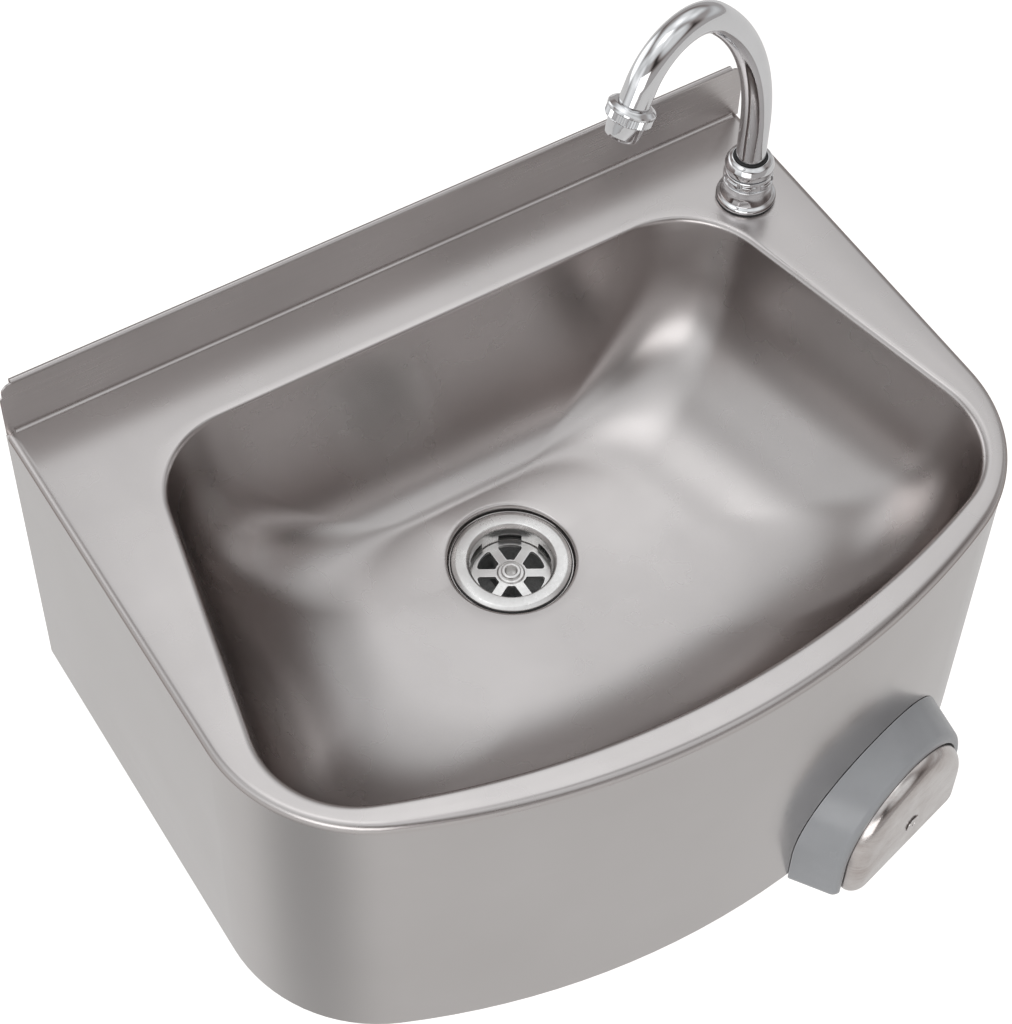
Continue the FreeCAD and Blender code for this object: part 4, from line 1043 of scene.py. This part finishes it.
def satin_steel(name):
    """Pressed stainless sheet: a matt satin, with level brush lines on the upstand."""
    steel = Finish(name, (0.612, 0.580, 0.572), 1.0, 0.28)
    steel.shader.inputs["Specular Tint"].default_value = (0.36, 0.30, 0.28, 1)
    lines = steel.noise(2.2, (4, 4, 420), detail=4.0, rough=0.6)
    clouds = steel.noise(14.0, detail=4.0, rough=0.6)
    specks = steel.noise(900.0, detail=2.0)
    grain = steel.noise(2600.0, detail=1.0)
    brushed = steel.maths("MULTIPLY", lines, steel.on_upstand())
    steel.tint(clouds, (0.565, 0.538, 0.530), 0.8)
    steel.tint(specks, (0.625, 0.600, 0.594), 0.2)
    steel.tint(brushed, (0.56, 0.535, 0.53), 0.5)
    steel.roughen(steel.maths("ADD", steel.span(clouds, 0.25, 0.30), steel.span(brushed, 0.0, 0.05)))
    steel.bump(brushed, 0.00003, 0.35)
    steel.bump(grain, 0.000006, 0.4)
    return steel.material


def brushed_steel(name):
    """The skirt's stainless sheet, brushed level all round."""
    steel = Finish(name, (0.605, 0.582, 0.576), 1.0, 0.26)
    lines = steel.noise(2.2, (3, 3, 380), detail=4.0, rough=0.6)
    clouds = steel.noise(9.0, detail=4.0, rough=0.6)
    grain = steel.noise(2200.0, detail=1.0)
    steel.tint(clouds, (0.560, 0.535, 0.526), 0.85)
    steel.tint(lines, (0.578, 0.553, 0.547), 0.4)
    steel.roughen(steel.maths("ADD", steel.span(clouds, 0.15, 0.20), steel.span(lines, -0.02, 0.02)))
    steel.bump(lines, 0.00003, 0.2)
    steel.bump(grain, 0.000012, 0.5)
    return steel.material


def polished_steel(name):
    """The knee plate's rubbed steel: bright, with brown and grey clouds and fine scratches."""
    steel = Finish(name, (0.72, 0.69, 0.675), 1.0, 0.16)
    clouds = steel.noise(42.0, detail=5.0, rough=0.65)
    rub = steel.noise(60.0, (1, 1, 14), detail=4.0, rough=0.6)
    scratches = steel.noise(30.0, (20, 20, 260), detail=3.0, rough=0.7)
    steel.tint(clouds, (0.50, 0.435, 0.41), 1.0)
    steel.tint(rub, (0.74, 0.725, 0.715), 0.5)
    steel.roughen(steel.maths("ADD", steel.span(clouds, 0.13, 0.24), steel.span(scratches, -0.03, 0.05)))
    steel.bump(scratches, 0.00003, 0.3)
    steel.bump(clouds, 0.0002, 0.15)
    steel.wear_edges(3.0, (0.78, 0.77, 0.76))
    return steel.material


def satin_waste(name):
    """The waste's pale satin steel, turned on a lathe, with fine scratches and specks."""
    steel = Finish(name, (0.86, 0.85, 0.84), 1.0, 0.30)
    clouds = steel.noise(70.0, detail=4.0, rough=0.6)
    specks = steel.noise(700.0, detail=3.0)
    steel.tint(clouds, (0.80, 0.785, 0.775), 0.8)
    steel.tint(specks, (0.70, 0.69, 0.68), 0.35)
    steel.roughen(steel.maths("ADD", steel.span(clouds, 0.25, 0.33), steel.span(specks, -0.02, 0.03)))
    steel.bump(specks, 0.00001, 0.3)
    steel.wear_edges(2.0, (0.90, 0.89, 0.88))
    return steel.material


def bright_chrome(name):
    """Chrome plate with faint waviness and handling marks."""
    chrome = Finish(name, (0.80, 0.80, 0.81), 1.0, 0.06)
    smears = chrome.noise(55.0, detail=4.0, rough=0.6)
    waves = chrome.noise(110.0, detail=2.0)
    chrome.tint(smears, (0.73, 0.73, 0.74), 0.6)
    chrome.roughen(chrome.span(smears, 0.035, 0.12))
    chrome.bump(waves, 0.00012, 0.25)
    return chrome.material


def moulded_grey(name):
    """Grey moulded plastic, a little glossy, with fine flow marks and rubbed edges."""
    grey = Finish(name, (0.455, 0.465, 0.485), 0.0, 0.30)
    clouds = grey.noise(36.0, detail=4.0, rough=0.6)
    flow = grey.noise(9.0, (1, 1, 6), detail=3.0)
    grain = grey.noise(1800.0, detail=2.0)
    grey.tint(clouds, (0.385, 0.395, 0.41), 0.8)
    grey.tint(flow, (0.46, 0.47, 0.485), 0.5)
    grey.roughen(grey.span(clouds, 0.18, 0.28))
    grey.bump(grain, 0.00002, 0.4)
    grey.bump(clouds, 0.0004, 0.12)
    grey.wear_edges(3.0, (0.52, 0.53, 0.545))
    return grey.material


def black_rubber(name):
    rubber = Finish(name, (0.020, 0.020, 0.021), 0.0, 0.55)
    clouds = rubber.noise(120.0, detail=3.0)
    rubber.tint(clouds, (0.035, 0.034, 0.033), 0.8)
    rubber.roughen(rubber.span(clouds, 0.45, 0.7))
    rubber.bump(rubber.noise(2200.0, detail=2.0), 0.00004, 0.5)
    return rubber.material


def turned_brass(name):
    brass = Finish(name, (0.71, 0.52, 0.27), 1.0, 0.28)
    clouds = brass.noise(60.0, detail=4.0)
    marks = brass.noise(30.0, (10, 10, 300), detail=3.0)
    brass.tint(clouds, (0.55, 0.38, 0.19), 0.7)
    brass.roughen(brass.maths("ADD", brass.span(clouds, 0.22, 0.40), brass.span(marks, -0.03, 0.04)))
    brass.bump(marks, 0.00003, 0.4)
    return brass.material


def plated_pipe(name):
    pipe = Finish(name, (0.74, 0.73, 0.72), 1.0, 0.20)
    clouds = pipe.noise(45.0, detail=4.0)
    pipe.tint(clouds, (0.64, 0.62, 0.60), 0.7)
    pipe.roughen(pipe.span(clouds, 0.14, 0.30))
    pipe.bump(pipe.noise(400.0, detail=2.0), 0.00004, 0.3)
    return pipe.material


def spring_wire(name):
    wire = Finish(name, (0.50, 0.50, 0.51), 1.0, 0.28)
    marks = wire.noise(220.0, detail=3.0)
    wire.tint(marks, (0.36, 0.355, 0.35), 0.6)
    wire.roughen(wire.span(marks, 0.20, 0.40))
    wire.bump(marks, 0.00003, 0.3)
    return wire.material


def waste_plastic(name):
    plastic = Finish(name, (0.15, 0.15, 0.15), 0.0, 0.50)
    clouds = plastic.noise(40.0, detail=4.0)
    grit = plastic.noise(650.0, detail=3.0, rough=0.7)
    plastic.tint(clouds, (0.12, 0.12, 0.12), 0.7)
    plastic.tint(grit, (0.30, 0.30, 0.30), 0.9)
    plastic.roughen(plastic.span(clouds, 0.45, 0.60))
    plastic.bump(plastic.noise(1500.0, detail=2.0), 0.00003, 0.4)
    return plastic.material


finishes = {
    "stainless": satin_steel("stainless_satin"),
    "stainless_brushed": brushed_steel("stainless_brushed"),
    "stainless_polished": polished_steel("stainless_rubbed"),
    "waste_satin": satin_waste("waste_satin_steel"),
    "chrome": bright_chrome("chrome_bright"),
    "housing_grey": moulded_grey("housing_moulded_grey"),
    "rubber_black": black_rubber("rubber_matt_black"),
    "brass": turned_brass("brass_turned"),
    "copper_pipe": plated_pipe("pipe_plated"),
    "spring_steel": spring_wire("spring_wire_steel"),
    "waste_plastic": waste_plastic("waste_moulded_plastic"),
}

slot_of = {row["node"]: row["material_slot"] for row in frame["record"]["subparts"]}
for name, node in nodes.items():
    node.data.materials.clear()
    node.data.materials.append(finishes["stainless_brushed" if name == "skirt" else slot_of[name]])

bpy.context.scene.view_settings.view_transform = "Standard"
add_camera()
add_floor()
set_world()
add_lights()
make_basin()
make_waste_flange()
make_waste_grid()
make_waste_screw()
make_spout_tube()
make_spout_base()
make_lock_ring()
make_cap_nut()
make_aerator_collar()
make_aerator_body()
make_knee_housing()
make_knee_plate()
make_plate_screw()
put_down()
